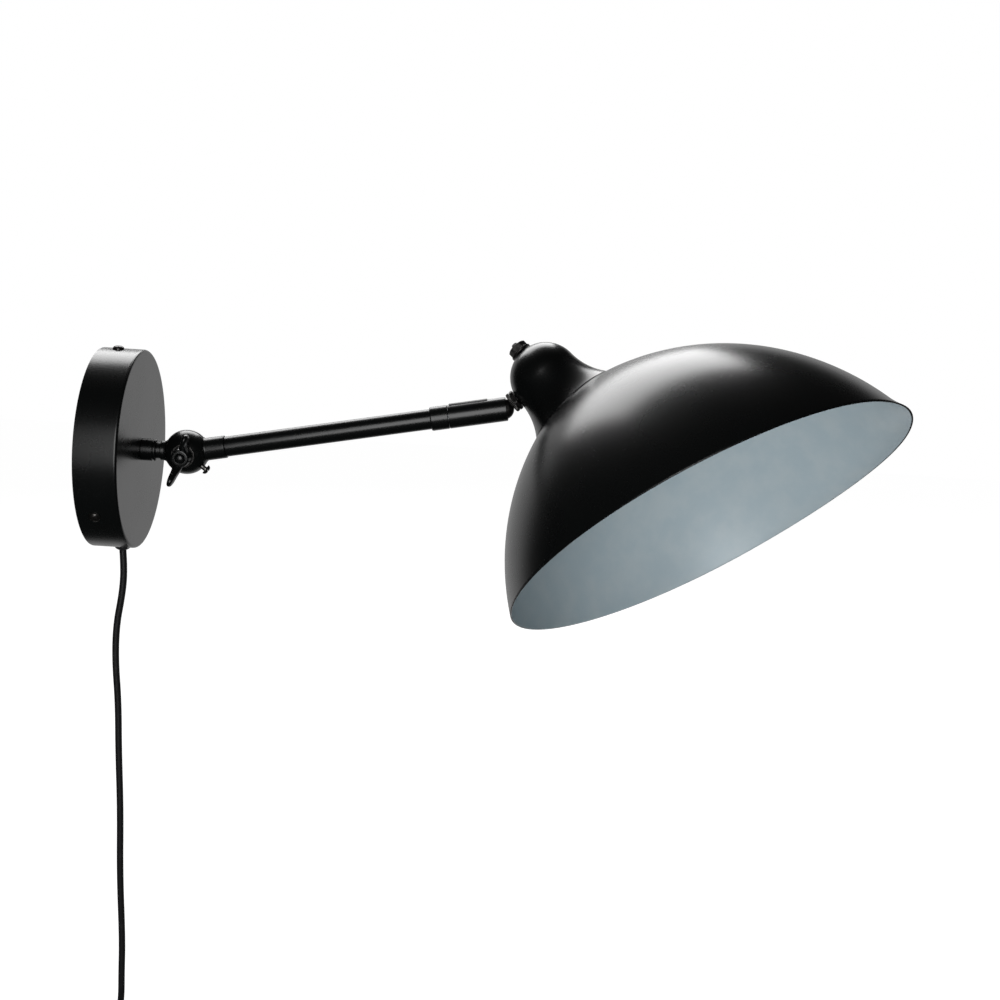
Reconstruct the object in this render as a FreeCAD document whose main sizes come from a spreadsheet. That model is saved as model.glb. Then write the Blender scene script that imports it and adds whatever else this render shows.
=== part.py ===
"""Wall lamp on a swing arm, with a plug lead.

A round canopy carries a stem that turns, a ball hinge with a wing nut, a straight arm, a turning
sleeve, a ball stud and a spun shade whose mouth is cut at a slant. A lead hangs from the canopy.

Millimetres. The origin is the centre of the canopy's back edge, on the wall. +X points out of the
wall and +Z points up. A turned piece is drawn as half a section, radius across and length along.
"""

import FreeCAD, Part
import math
import operator
import os
import Sketcher
from FreeCAD import Placement, Rotation, Vector

DIMENSIONS = {
    # canopy and what is fixed to it
    "canopy_radius": 60.0, "canopy_depth": 25.0, "canopy_wall": 1.2, "canopy_edge": 1.0,
    "plate_thickness": 1.5, "plate_arm_width": 16.0, "plate_hub_radius": 20.0,
    "tab_radius": 58.2, "tab_width": 12.0, "tab_height": 15.0,
    "slot_spacing": 60.0, "slot_drop": 17.3, "slot_length": 9.0, "slot_width": 4.5,
    "side_screw_depth": 10.5, "side_screw_radius": 1.5, "side_screw_head": 3.4,
    "gland_depth": 13.0, "gland_radius": 5.2, "gland_neck": 4.1, "gland_height": 3.5,
    # stem and ball hinge
    "stem_radius": 6.7, "stem_end": 34.1, "pipe_radius": 5.0, "pipe_bore": 3.4, "pipe_end": 36.5,
    "hinge_reach": 51.9, "hinge_radius": 13.4, "hinge_flat": 11.6, "hinge_gap": 0.15,
    "hinge_clearance": 0.3, "hinge_neck": 6.0, "bolt_radius": 2.95, "bolt_fit": 0.05,
    "wing_hub_height": 8.0, "wing_hub_base": 6.2, "wing_hub_top": 5.0, "wing_span": 16.5,
    "wing_height": 17.0, "wing_thickness": 3.2, "wing_turn": 72.0,
    # arm and sleeve
    "arm_elevation": 11.4, "arm_length": 193.7, "collar_radius": 6.85, "collar_end": 24.0,
    "tube_radius": 6.1, "tube_bore": 5.1, "tube_end": 152.0, "ring_radius": 7.2,
    "ring_start": 149.3, "ring_end": 160.0, "spigot_radius": 4.9, "spigot_end": 176.0,
    "sleeve_end": 195.5, "sleeve_gap": 0.3, "sleeve_lip": 0.8, "strip_start": 168.0,
    "strip_length": 16.6, "strip_width": 3.0,
    # ball stud
    "ball_radius": 6.2, "socket_radius": 6.35, "stud_neck": 3.0, "stud_bore": 1.8,
    "stud_elevation": 41.2, "stud_length": 31.4, "stud_radius": 4.0, "stud_fit": 0.07,
    "stud_flange_start": 5.7, "stud_flange_end": 8.0, "stud_end": 15.8, "stud_nut": 6.93,
    # shade
    "shade_bearing": -26.85, "shade_dip": 37.56, "shade_roll": -52.4, "cut_slant": 17.0,
    "cut_height": 126.0, "cup_radius": 21.2, "cup_wall": 1.5, "cup_flare": 40.0,
    "cup_foot_radius": 29.9, "apex_hole": 2.1, "dome_wall": 1.0, "seat_bore": 14.3,
    "seat_radius": 20.0, "seat_height": 22.0, "shoulder_radius": 26.26, "shoulder_height": 24.06,
    "shoulder_slope": 17.76, "crown_arc": 152.7, "crown_turn": 44.44, "side_arc": 159.4,
    "side_turn": 19.36, "lip_arc": 31.1, "lip_turn": 60.0,
    "holder_radius": 13.4, "holder_barrel": 13.9, "holder_mouth": 46.0, "thread_radius": 6.95,
    # lead
    "lead_radius": 2.15, "coil_middle": 24.3, "coil_bundle": 13.2, "coil_centre_z": -416.0,
    "coil_centre_x": 12.0, "plug_top": -471.0,
}

document = FreeCAD.newDocument("wall_lamp")
sheet = document.addObject("Spreadsheet::Sheet", "Sizes")
for row, (alias, number) in enumerate(DIMENSIONS.items(), start=1):
    sheet.set("A%d" % row, alias)
    sheet.set("B%d" % row, str(number))
    sheet.setAlias("B%d" % row, alias)
document.recompute()


class Size:
    """A number together with the sheet formula that gives it."""

    bound = []

    def __init__(self, value, formula=None):
        self.value = float(value)
        self.formula = formula if formula else "%r" % float(value)

    @staticmethod
    def of(thing):
        return thing if isinstance(thing, Size) else Size(thing)

    @staticmethod
    def join(left, sign, right):
        left, right = Size.of(left), Size.of(right)
        act = {"+": operator.add, "-": operator.sub, "*": operator.mul, "/": operator.truediv}[sign]
        return Size(act(left.value, right.value), "(%s %s %s)" % (left.formula, sign, right.formula))

    def __add__(self, other):
        return Size.join(self, "+", other)

    def __radd__(self, other):
        return Size.join(other, "+", self)

    def __sub__(self, other):
        return Size.join(self, "-", other)

    def __rsub__(self, other):
        return Size.join(other, "-", self)

    def __mul__(self, other):
        return Size.join(self, "*", other)

    def __rmul__(self, other):
        return Size.join(other, "*", self)

    def __truediv__(self, other):
        return Size.join(self, "/", other)

    def __neg__(self):
        return Size.join(0, "-", self)


def cell(alias):
    return Size(sheet.get(alias), "Sizes." + alias)


def sine(angle):
    return Size(math.sin(math.radians(angle.value)), "sin(%s)" % angle.formula)


def cosine(angle):
    return Size(math.cos(math.radians(angle.value)), "cos(%s)" % angle.formula)


def root(size):
    return Size(math.sqrt(size.value), "sqrt(%s)" % size.formula)


def side(hypotenuse, other):
    """The third side of a right triangle."""
    hypotenuse, other = Size.of(hypotenuse), Size.of(other)
    return root(hypotenuse * hypotenuse - other * other)


def bind(item, **sizes):
    """Give each named property its value and the formula behind it."""
    for name, size in sizes.items():
        size = Size.of(size)
        setattr(item, name, size.value)
        item.setExpression(name, size.formula)
        Size.bound.append((item, name, size.value))


# ---------------------------------------------------------------- shapes

def primitive(kind, label, **sizes):
    item = document.addObject("Part::" + kind, label)
    item.Label = label
    bind(item, **sizes)
    return item


def placed(item, placement):
    item.Placement = placement
    return item


def fused(label, *items):
    item = document.addObject("Part::MultiFuse", label)
    item.Label = label
    item.Shapes = list(items)
    return item


def cut(label, base, *tools):
    tool = tools[0] if len(tools) == 1 else fused(label + "_tools", *tools)
    item = document.addObject("Part::Cut", label)
    item.Label = label
    item.Base = base
    item.Tool = tool
    return item


def shared(label, first, second):
    item = document.addObject("Part::Common", label)
    item.Label = label
    item.Base = first
    item.Tool = second
    return item


def arc_edge(start, end, radius):
    """An arc of less than half a turn, counterclockwise for a positive radius."""
    chord = end - start
    height = math.sqrt(max(radius * radius - chord.Length ** 2 / 4.0, 0.0))
    left = Vector(-chord.y, chord.x, 0).normalize()
    centre = (start + end) * 0.5 + left * math.copysign(height, radius)
    first, last = (start, end) if radius > 0 else (end, start)
    angles = [math.atan2(point.y - centre.y, point.x - centre.x) for point in (first, last)]
    circle = Part.Circle(centre, Vector(0, 0, 1), abs(radius))
    return Part.ArcOfCircle(circle, angles[0], angles[1])


def fix(sketch, kind, constraint, size):
    """Add a dimension to a sketch and bind it to its formula."""
    index = sketch.addConstraint(Sketcher.Constraint(kind, *constraint, size.value))
    sketch.setExpression("Constraints[%d]" % index, size.formula)


def outline(body, label, plane, corners):
    """A closed sketch. A corner (across, along, radius) is reached by an arc of that radius."""
    sketch = body.newObject("Sketcher::SketchObject", label)
    origin_plane = [item for item in body.Origin.OriginFeatures if item.Role == plane][0]
    sketch.AttachmentSupport = [(origin_plane, "")]
    sketch.MapMode = "FlatFace"
    points = [Vector(Size.of(corner[0]).value, Size.of(corner[1]).value, 0) for corner in corners]
    ends = []
    for index, corner in enumerate(corners):
        start, end = points[index - 1], points[index]
        if len(corner) == 2:
            sketch.addGeometry(Part.LineSegment(start, end), False)
            ends.append((1, 2))
        else:
            sketch.addGeometry(arc_edge(start, end, Size.of(corner[2]).value), False)
            ends.append((1, 2) if Size.of(corner[2]).value > 0 else (2, 1))
            fix(sketch, "Radius", (index,), Size.of(corner[2] if ends[-1] == (1, 2) else -corner[2]))
    for index, corner in enumerate(corners):
        following = (index + 1) % len(corners)
        joint = (index, ends[index][1], following, ends[following][0])
        sketch.addConstraint(Sketcher.Constraint("Coincident", *joint))
        across, along = Size.of(corner[0]), Size.of(corner[1])
        for kind, axis, size in (("DistanceX", -2, across), ("DistanceY", -1, along)):
            if size.value == 0:
                on_axis = (index, ends[index][1], axis)
                sketch.addConstraint(Sketcher.Constraint("PointOnObject", *on_axis))
            else:
                fix(sketch, kind, (-1, 1, index, ends[index][1]), size)
    return sketch


def turned(label, corners):
    """A solid of revolution about its own Z from half a section."""
    body = document.addObject("PartDesign::Body", label)
    body.Label = label
    sketch = outline(body, label + "_section", "XZ_Plane", corners)
    feature = body.newObject("PartDesign::Revolution", label + "_turn")
    feature.Profile = sketch
    feature.ReferenceAxis = (sketch, ["V_Axis"])
    feature.Angle = 360
    return body


def sleeve_shape(label, inner, outer, low, high):
    """A plain ring or pipe, or a rod where inner is 0."""
    return turned(label, [(inner, low), (outer, low), (outer, high), (inner, high)])


def padded(label, corners, thickness):
    """A plate cut to an outline in X and Z, centred on Y."""
    body = document.addObject("PartDesign::Body", label)
    body.Label = label
    sketch = outline(body, label + "_outline", "XZ_Plane", corners)
    feature = body.newObject("PartDesign::Pad", label + "_pad")
    feature.Profile = sketch
    feature.SideType = "Symmetric"
    bind(feature, Length=thickness)
    return body


def hexagon(label, corner_radius, bore, low, high):
    """A hexagon nut about its own Z."""
    length = Size.of(high) - low
    blank = primitive("Prism", label + "_blank", Circumradius=corner_radius, Height=length)
    placed(blank, Placement(Vector(0, 0, Size.of(low).value), Rotation()))
    hole = primitive("Cylinder", label + "_bore", Radius=bore, Height=length + 2)
    placed(hole, Placement(Vector(0, 0, Size.of(low).value - 1), Rotation()))
    return cut(label, blank, hole)


def turn(axis, angle):
    return Rotation(Vector(*axis), angle)


X, Y, Z = (1, 0, 0), (0, 1, 0), (0, 0, 1)
WALL = Placement(Vector(), turn(Y, 90))
hinge_centre = Vector(cell("hinge_reach").value, 0, 0)
elevation = cell("arm_elevation").value
ARM = Placement(hinge_centre, turn(Y, 90 - elevation))
ARM_FLAT = Placement(hinge_centre, turn(Y, -elevation))
BOLT = Placement(hinge_centre, turn(X, 90))
PIVOT = Placement(ARM.multVec(Vector(0, 0, cell("arm_length").value)),
                  turn(Y, 90 - cell("stud_elevation").value))
SHADE = Placement(PIVOT.multVec(Vector(0, 0, cell("stud_length").value)),
                  turn(Z, cell("shade_bearing").value)
                  * turn(Y, 90 + cell("shade_dip").value)
                  * turn(Z, cell("shade_roll").value))
SIDE_ANGLES = (0, 120, 240)


def around(angle, depth):
    """A frame at a depth from the wall whose Z points outwards at an angle from the top."""
    return Placement(Vector(depth, 0, 0), turn(X, angle))


# ---------------------------------------------------------------- canopy

def side_hole(label, angle, radius):
    hole = primitive("Cylinder", label, Radius=radius, Height=10)
    outwards = around(angle, cell("side_screw_depth").value)
    return placed(hole, outwards * Placement(Vector(0, 0, 53), Rotation()))


def make_canopy():
    radius, depth, wall = cell("canopy_radius"), cell("canopy_depth"), cell("canopy_wall")
    edge, pipe_hole = cell("canopy_edge"), cell("pipe_radius") + 0.3
    cup = turned("canopy_cup", [
        (pipe_hole, depth - wall), (radius - wall, depth - wall), (radius - wall, 0), (radius, 0),
        (radius, depth - edge), (radius - edge, depth, edge), (pipe_hole, depth)])
    placed(cup, WALL)
    gland_hole = primitive("Cylinder", "canopy_gland_hole", Radius=cell("gland_neck") + 0.1, Height=12)
    placed(gland_hole, Placement(Vector(cell("gland_depth").value, 0, -66), Rotation()))
    notch = primitive("Box", "canopy_notch", Length=3.0, Width=3.0, Height=8.0)
    placed(notch, around(118, 0) * Placement(Vector(-1.5, 8, 55), Rotation()))
    screw_holes = [side_hole("canopy_side_hole_%d" % number, angle, cell("side_screw_radius") + 0.2)
                   for number, angle in enumerate(SIDE_ANGLES, start=1)]
    return [cut("canopy", cup, gland_hole, notch, *screw_holes)]


def make_wall_plate():
    thickness, width = cell("plate_thickness"), cell("plate_arm_width")
    hub = primitive("Cylinder", "plate_hub", Radius=cell("plate_hub_radius"), Height=thickness)
    pieces = [placed(hub, WALL)]
    for number, angle in enumerate(SIDE_ANGLES, start=1):
        arm = primitive("Box", "plate_arm_%d" % number,
                        Length=thickness, Width=width, Height=cell("tab_radius"))
        tab = primitive("Box", "plate_tab_%d" % number,
                        Length=cell("tab_height"), Width=cell("tab_width"), Height=thickness)
        placed(arm, around(angle, 0) * Placement(Vector(0, -width.value / 2, 0), Rotation()))
        tab_corner = Vector(0, -cell("tab_width").value / 2,
                            cell("tab_radius").value - thickness.value)
        placed(tab, around(angle, 0) * Placement(tab_corner, Rotation()))
        pieces += [arm, tab]
    holes = [side_hole("plate_tab_hole_%d" % number, angle, cell("side_screw_radius") + 0.1)
             for number, angle in enumerate(SIDE_ANGLES, start=1)]
    straight = cell("slot_length") - cell("slot_width")
    for name, sign in (("left", -1), ("right", 1)):
        middle = Vector(-2, sign * cell("slot_spacing").value / 2, -cell("slot_drop").value)
        flat = primitive("Box", "plate_slot_%s" % name,
                         Length=6, Width=straight, Height=cell("slot_width"))
        placed(flat, Placement(middle - Vector(0, straight.value, cell("slot_width").value) / 2,
                               Rotation()))
        holes.append(flat)
        for end in (-1, 1):
            round_end = primitive("Cylinder", "plate_slot_end", Radius=cell("slot_width") / 2, Height=6)
            at = middle + Vector(0, end * straight.value / 2, 0)
            holes.append(placed(round_end, Placement(at, turn(Y, 90))))
    return [cut("wall_plate", fused("plate_blank", *pieces), *holes)]


def make_side_screws():
    """Pan head screws: the head stands on the canopy and the shank goes through the plate's tab."""
    radius, head, shank = cell("canopy_radius"), cell("side_screw_head"), cell("side_screw_radius")
    screws = []
    for number, angle in enumerate(SIDE_ANGLES, start=1):
        blank = turned("side_screw_%d_blank" % number, [
            (0, 54.0), (shank, 54.0), (shank, radius + 0.02), (head, radius + 0.02),
            (head, radius + 1.1), (head - 0.9, radius + 2.0, 0.9), (0, radius + 2.0)])
        slot = primitive("Box", "side_screw_%d_slot" % number, Length=0.8, Width=8.0, Height=1.0)
        placed(slot, Placement(Vector(-0.4, -4, radius.value + 1.3), Rotation()))
        screw = cut("side_screw_%d" % number, blank, slot)
        screws.append(placed(screw, around(angle, cell("side_screw_depth").value)))
    return screws


def make_terminal_block():
    """A connector for the supply wires on the plate's upper arm."""
    block = primitive("Box", "terminal_blank", Length=11.0, Width=16.0, Height=22.0)
    placed(block, Placement(Vector(cell("plate_thickness").value, -8, 23), Rotation()))
    holes = []
    for number, height in enumerate((28.0, 40.0), start=1):
        hole = primitive("Cylinder", "terminal_hole_%d" % number, Radius=1.9, Height=20.0)
        holes.append(placed(hole, Placement(Vector(7.5, -10, height), turn(X, -90))))
    return [cut("terminal_block", block, *holes)]


def make_gland():
    """The bushing that the lead leaves by, and its nut inside the canopy."""
    radius, neck, height = cell("gland_radius"), cell("gland_neck"), cell("gland_height")
    down = Placement(Vector(cell("gland_depth").value, 0, -cell("canopy_radius").value), turn(X, 180))
    bushing = turned("lead_gland", [
        (0, -6.0), (neck, -6.0), (neck, 0.05), (radius, 0.05), (radius, 1.2),
        (cell("lead_radius") + 0.5, height, radius - cell("lead_radius")), (0, height)])
    nut = hexagon("lead_gland_nut", 7.0, neck + 0.1, -4.7, -1.75)
    return [placed(bushing, down), placed(nut, down)]


# ---------------------------------------------------------------- stem and hinge

def make_stem():
    """A threaded pipe clamped in the canopy, with its collar outside and its nut inside."""
    pipe, depth, wall = cell("pipe_radius"), cell("canopy_depth"), cell("canopy_wall")
    radius, end = cell("stem_radius"), cell("stem_end")
    collar = turned("stem_collar", [
        (pipe + 0.05, depth + 0.1), (radius, depth + 0.1), (radius, end - 2.6),
        (radius - 0.5, end - 2.2), (radius - 0.5, end - 1.8), (radius, end - 1.4),
        (radius, end - 0.6), (radius - 0.6, end), (pipe + 0.05, end)])
    tube = sleeve_shape("stem_pipe", cell("pipe_bore"), pipe, 16.0, cell("pipe_end"))
    inside = depth - wall
    washer = sleeve_shape("stem_washer", pipe + 0.1, 9.0, inside - 1.1, inside - 0.1)
    nut = hexagon("stem_nut", 8.1, pipe + 0.05, inside - 4.3, inside - 1.15)
    return [placed(item, WALL) for item in (collar, tube, washer, nut)]


def half_ball(label, reach, neck_radius, far_side, bolt_hole):
    """One half of the hinge ball with its neck, drawn with the neck along X and the bolt along Y.

    far_side is 1 for the half away from the wing nut and -1 for the half beside it.
    """
    radius, gap = cell("hinge_radius"), cell("hinge_gap")
    ball = primitive("Sphere", label + "_ball", Radius=radius)
    neck = primitive("Cylinder", label + "_neck", Radius=neck_radius, Height=abs(reach.value))
    placed(neck, Placement(Vector(min(reach.value, 0), 0, 0), turn(Y, 90)))
    room_ball = primitive("Sphere", label + "_room_ball", Radius=radius + cell("hinge_clearance"))
    room_box = primitive("Box", label + "_room_box", Length=60, Width=30, Height=60)
    edge = far_side * gap.value
    placed(room_box, Placement(Vector(-30, edge if far_side < 0 else edge - 30, -30), Rotation()))
    room = shared(label + "_room", room_ball, room_box)
    flat = primitive("Box", label + "_flat", Length=30, Width=10, Height=30)
    flat_edge = cell("hinge_flat").value
    placed(flat, Placement(Vector(-15, flat_edge if far_side > 0 else -flat_edge - 10, -15), Rotation()))
    hole = primitive("Cylinder", label + "_hole", Radius=bolt_hole, Height=40)
    placed(hole, Placement(Vector(0, 20, 0), turn(X, 90)))
    return fused(label + "_blank", ball, neck), [room, flat, hole]


def make_hinge():
    bolt, fit = cell("bolt_radius"), cell("bolt_fit")
    reach = cell("pipe_end") - cell("hinge_reach")
    blank, tools = half_ball("hinge_wall_half", reach, cell("hinge_neck"), 1, bolt + 0.1)
    wall_half = placed(cut("hinge_wall_half", blank, *tools), Placement(hinge_centre, Rotation()))
    head = primitive("Prism", "hinge_bolt_head", Circumradius=5.6, Height=3.6)
    placed(head, Placement(Vector(0, 0, -cell("hinge_flat").value - 3.65), Rotation()))
    shank = sleeve_shape("hinge_bolt_shank", 0, bolt, -cell("hinge_flat") - 0.6, 22.5)
    return [wall_half, placed(fused("hinge_bolt", head, shank), BOLT)]


SCREW_OFFSET = -4.5
SET_SCREW = Placement(hinge_centre + Vector(0, SCREW_OFFSET, 0), turn(Y, 126))


def make_arm_hinge():
    """The arm's half of the hinge, its washer under the wing nut, and a small pan head screw."""
    bolt, fit = cell("bolt_radius"), cell("bolt_fit")
    blank, tools = half_ball("hinge_arm_half", cell("collar_end"), cell("collar_radius"), -1, bolt + fit)
    screw_hole = primitive("Cylinder", "hinge_screw_hole", Radius=1.6, Height=8)
    frame = ARM_FLAT.inverse() * SET_SCREW
    placed(screw_hole, frame * Placement(Vector(0, 0, 8.5), Rotation()))
    arm_half = placed(cut("hinge_arm_half", blank, screw_hole, *tools), ARM_FLAT)
    flat = cell("hinge_flat")
    washer = placed(sleeve_shape("hinge_washer", bolt + 0.15, 7.0, flat + 0.02, flat + 1.0), BOLT)
    screw = turned("hinge_set_screw", [
        (0, 9.0), (1.45, 9.0), (1.45, 15.1), (3.0, 15.1), (3.0, 16.4), (2.1, 17.3, 0.9), (0, 17.3)])
    return [arm_half, washer, placed(screw, SET_SCREW)]


def make_wing_nut():
    height, base, top = cell("wing_hub_height"), cell("wing_hub_base"), cell("wing_hub_top")
    start = cell("hinge_flat").value + 1.15
    hub = turned("wing_hub", [(0, 0), (base, 0), (base, 1.0), (top, height), (0, height)])
    span, tall = cell("wing_span"), cell("wing_height")
    wings = []
    for number, angle in enumerate((0, 180), start=1):
        wing = padded("wing_%d" % number, [
            (2.5, 1.0), (6.8, 1.0), (span - 4.5, 5.4), (span, tall - 4.6, 7.0),
            (span - 3.4, tall, 3.6), (span - 7.0, tall - 2.8, 4.2), (top + 0.6, height - 1.0),
            (2.5, height - 1.0)], cell("wing_thickness"))
        wings.append(placed(wing, Placement(Vector(), turn(Z, angle))))
    hole = primitive("Cylinder", "wing_bore", Radius=cell("bolt_radius") + cell("bolt_fit"), Height=30)
    placed(hole, Placement(Vector(0, 0, -5), Rotation()))
    nut = cut("wing_nut", fused("wing_blank", hub, *wings), hole)
    turned_frame = Placement(Vector(0, 0, start), turn(Z, cell("wing_turn").value))
    return [placed(nut, BOLT * turned_frame)]


# ---------------------------------------------------------------- arm and sleeve

def make_arm():
    tube, bore, ring = cell("tube_radius"), cell("tube_bore"), cell("ring_radius")
    low, high, spigot = cell("ring_start"), cell("ring_end"), cell("spigot_radius")
    pipe = sleeve_shape("arm_tube", bore, tube, cell("collar_end") + 0.02, cell("tube_end"))
    band = turned("arm_ring", [
        (tube + 0.05, low), (ring - 0.5, low), (ring, low + 0.5), (ring, high - 0.3),
        (ring - 0.3, high), (spigot + 0.05, high), (spigot + 0.05, cell("tube_end") + 0.05),
        (tube + 0.05, cell("tube_end") + 0.05)])
    inner = sleeve_shape("arm_spigot", 3.4, spigot, cell("tube_end") + 0.1, cell("spigot_end"))
    return [placed(item, ARM) for item in (pipe, band, inner)]


def make_sleeve():
    """The turning sleeve: it runs on the arm's spigot and holds the ball stud in its socket."""
    outer, start, end = cell("ring_radius"), cell("ring_end") + cell("sleeve_gap"), cell("sleeve_end")
    bore, socket, lip = cell("spigot_radius") + 0.05, cell("socket_radius"), cell("sleeve_lip")
    ball_at = cell("arm_length")
    seat = 3.6
    sleeve = turned("swivel_sleeve", [
        (bore, start), (outer - 0.3, start), (outer, start + 0.3), (outer, end - lip),
        (outer - lip, end, lip), (side(socket, end - ball_at), end),
        (side(socket, seat), ball_at - seat, -socket), (side(socket, seat), ball_at - 6.5),
        (bore, ball_at - 8.0)])
    strip = primitive("Box", "sleeve_strip", Length=0.6, Width=cell("strip_width"),
                      Height=cell("strip_length"))
    corner = Vector(-outer.value - 0.62, -cell("strip_width").value / 2, cell("strip_start").value)
    return [placed(sleeve, ARM), placed(strip, ARM * Placement(corner, Rotation()))]


def make_ball_stud():
    ball, neck, bore = cell("ball_radius"), cell("stud_neck"), cell("stud_bore")
    low, high, shank = cell("stud_flange_start"), cell("stud_flange_end"), cell("stud_radius")
    stud = turned("ball_stud", [
        (bore, -side(ball, bore)), (neck, side(ball, neck), ball), (neck, low), (ball - 0.4, low),
        (ball, low + 0.4), (ball, high - 0.4), (ball - 0.4, high), (shank, high),
        (shank, cell("stud_end")), (bore, cell("stud_end"))])
    corner = cell("stud_nut")
    outer_nut = hexagon("stud_outer_nut", corner, shank + 0.05, high + 0.02, high + 2.35)
    inner_face = cell("stud_length") - side(cell("cup_radius") - cell("cup_wall"), corner)
    inner_nut = hexagon("stud_inner_nut", corner, shank + 0.05, inner_face + 0.3, inner_face + 2.2)
    return [placed(item, PIVOT) for item in (stud, outer_nut, inner_nut)]


# ---------------------------------------------------------------- shade

def make_cup():
    """The cap over the lamp holder: half a ball that flares out to its foot on the dome."""
    radius, wall, flare, hole = cell("cup_radius"), cell("cup_wall"), cell("cup_flare"), cell("apex_hole")
    foot = cell("cup_foot_radius")
    inner, inner_flare = radius - wall, flare + wall
    flare_end = side(flare, radius + flare - foot)
    slope = (foot - cell("shoulder_radius")) / cell("crown_arc") + sine(cell("shoulder_slope"))
    dome_at_foot = cell("shoulder_height") + cell("crown_arc") * (
        cosine(cell("shoulder_slope")) - side(1, slope)) - 0.12
    inner_foot = foot - wall - 0.75
    inner_end = side(inner_flare, radius + flare - inner_foot)
    blank = turned("cup_blank", [
        (hole, -side(inner, hole), -inner), (hole, -side(radius, hole)), (radius, 0, radius),
        (foot, flare_end, -flare), (foot, dome_at_foot), (inner_foot, inner_end),
        (inner, 0, inner_flare)])
    blank.Placement = Placement()
    towards_stud = SHADE.Rotation.inverted().multVec(PIVOT.Rotation.multVec(Vector(0, 0, -1)))
    side_bore = primitive("Cylinder", "cup_side_hole", Radius=cell("stud_radius") + cell("stud_fit"), Height=12)
    placed(side_bore, Placement(towards_stud * 14, Rotation(Vector(0, 0, 1), towards_stud)))
    return [placed(cut("shade_cup", blank, side_bore), SHADE)]


def dome_corners():
    """Half a section of the spun dome: a flat seat, two convex arcs and a lip that turns out."""
    wall, slope = cell("dome_wall"), cell("shoulder_slope")
    crown, side_arc, lip = cell("crown_arc"), cell("side_arc"), cell("lip_arc")
    crown_end = slope + cell("crown_turn")
    side_end = crown_end + cell("side_turn")
    lip_end = side_end - cell("lip_turn")
    first = (cell("shoulder_radius"), cell("shoulder_height"))
    second = (first[0] + crown * (sine(crown_end) - sine(slope)),
              first[1] + crown * (cosine(slope) - cosine(crown_end)))
    third = (second[0] + side_arc * (sine(side_end) - sine(crown_end)),
             second[1] + side_arc * (cosine(crown_end) - cosine(side_end)))
    fourth = (third[0] + lip * (sine(side_end) - sine(lip_end)),
              third[1] + lip * (cosine(lip_end) - cosine(side_end)))

    def inwards(point, heading):
        return point[0] - wall * sine(heading), point[1] + wall * cosine(heading)

    seat = cell("seat_height")
    return [
        (cell("seat_bore"), seat), (cell("seat_radius"), seat), first,
        (*second, crown), (*third, side_arc), (*fourth, -lip),
        inwards(fourth, lip_end), (*inwards(third, side_end), lip + wall),
        (*inwards(second, crown_end), -(side_arc - wall)), (*inwards(first, slope), -(crown - wall)),
        (cell("seat_radius"), seat + wall), (cell("seat_bore"), seat + wall)]


def make_dome():
    """The spun dome, cut by a slanted plane so that its mouth is longer away from the wall."""
    spun = turned("dome_spun", dome_corners())
    size = 400.0
    waste = primitive("Box", "dome_waste", Length=size, Width=size, Height=size / 2)
    slant = turn(Y, cell("cut_slant").value)
    corner = slant.multVec(Vector(-size / 2, -size / 2, 0)) + Vector(0, 0, cell("cut_height").value)
    placed(waste, Placement(corner, slant))
    return [placed(cut("shade_dome", spun, waste), SHADE)]


def make_apex():
    """The small stud, washer and nut on top of the cup, which hold the lamp holder."""
    top = cell("cup_radius")
    washer = sleeve_shape("apex_washer", 2.1, 6.7, -top - 1.2, -top)
    nut = hexagon("apex_nut", 6.1, 2.1, -top - 5.2, -top - 1.22)
    stud = turned("apex_stud", [
        (0, -top - 7.2), (1.55, -top - 7.2), (1.95, -top - 6.8), (1.95, -12.05), (0, -12.05)])
    return [placed(item, SHADE) for item in (washer, nut, stud)]


def make_lamp_holder():
    """An E14 holder: cap, barrel clamped through the dome's seat by a ring, shell and contact."""
    cap_radius, barrel, mouth = cell("holder_radius"), cell("holder_barrel"), cell("holder_mouth")
    seat, wall, thread = cell("seat_height"), cell("dome_wall"), cell("thread_radius")
    cap = turned("holder_cap", [
        (0, -12.0), (cap_radius - 4.0, -12.0), (cap_radius, -8.0, 4.0), (cap_radius, 7.95),
        (cap_radius - 2.0, 7.95), (cap_radius - 2.0, -9.0), (0, -9.0)])
    body = turned("holder_barrel", [
        (0, 8.0), (cap_radius, 8.0), (cap_radius, 17.0), (17.0, 18.5), (17.0, seat - 0.02),
        (barrel, seat - 0.02), (barrel, mouth - 0.8), (barrel - 0.8, mouth), (10.5, mouth),
        (10.5, mouth - 4.0), (thread + 0.6, mouth - 4.0), (thread + 0.6, seat + 1.0),
        (0, seat + 1.0)])
    shell = turned("holder_shell", [
        (thread, seat + 3.0), (thread + 0.5, seat + 3.0), (thread + 0.5, mouth - 3.9),
        (thread + 1.6, mouth - 3.9), (thread + 1.6, mouth - 3.4), (thread, mouth - 3.4)])
    contact = turned("holder_contact", [
        (0, seat + 1.02), (2.6, seat + 1.02), (2.6, seat + 2.0), (0, seat + 8.0 - side(6.0, 2.6), 6.0)])
    clamp = turned("holder_ring", [
        (barrel + 0.1, seat + wall + 0.02), (18.6, seat + wall + 0.02), (18.6, seat + wall + 5.0),
        (17.6, seat + wall + 6.0), (barrel + 0.1, seat + wall + 6.0)])
    return [placed(item, SHADE) for item in (cap, body, shell, contact, clamp)]


# ---------------------------------------------------------------- lead

LEAD_ROUTE = [
    (13.0, 0.0, -63.55), (13.9, 0.1, -77.0), (12.6, 0.0, -93.0), (9.0, -0.3, -113.0),
    (8.2, 0.2, -137.0), (9.9, 0.8, -165.0), (10.2, 0.2, -198.0), (11.6, -0.8, -238.0),
    (11.0, -0.2, -284.0), (12.4, 0.6, -332.0), (12.0, 0.0, -358.0), (12.2, 0.0, -384.9)]


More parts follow.
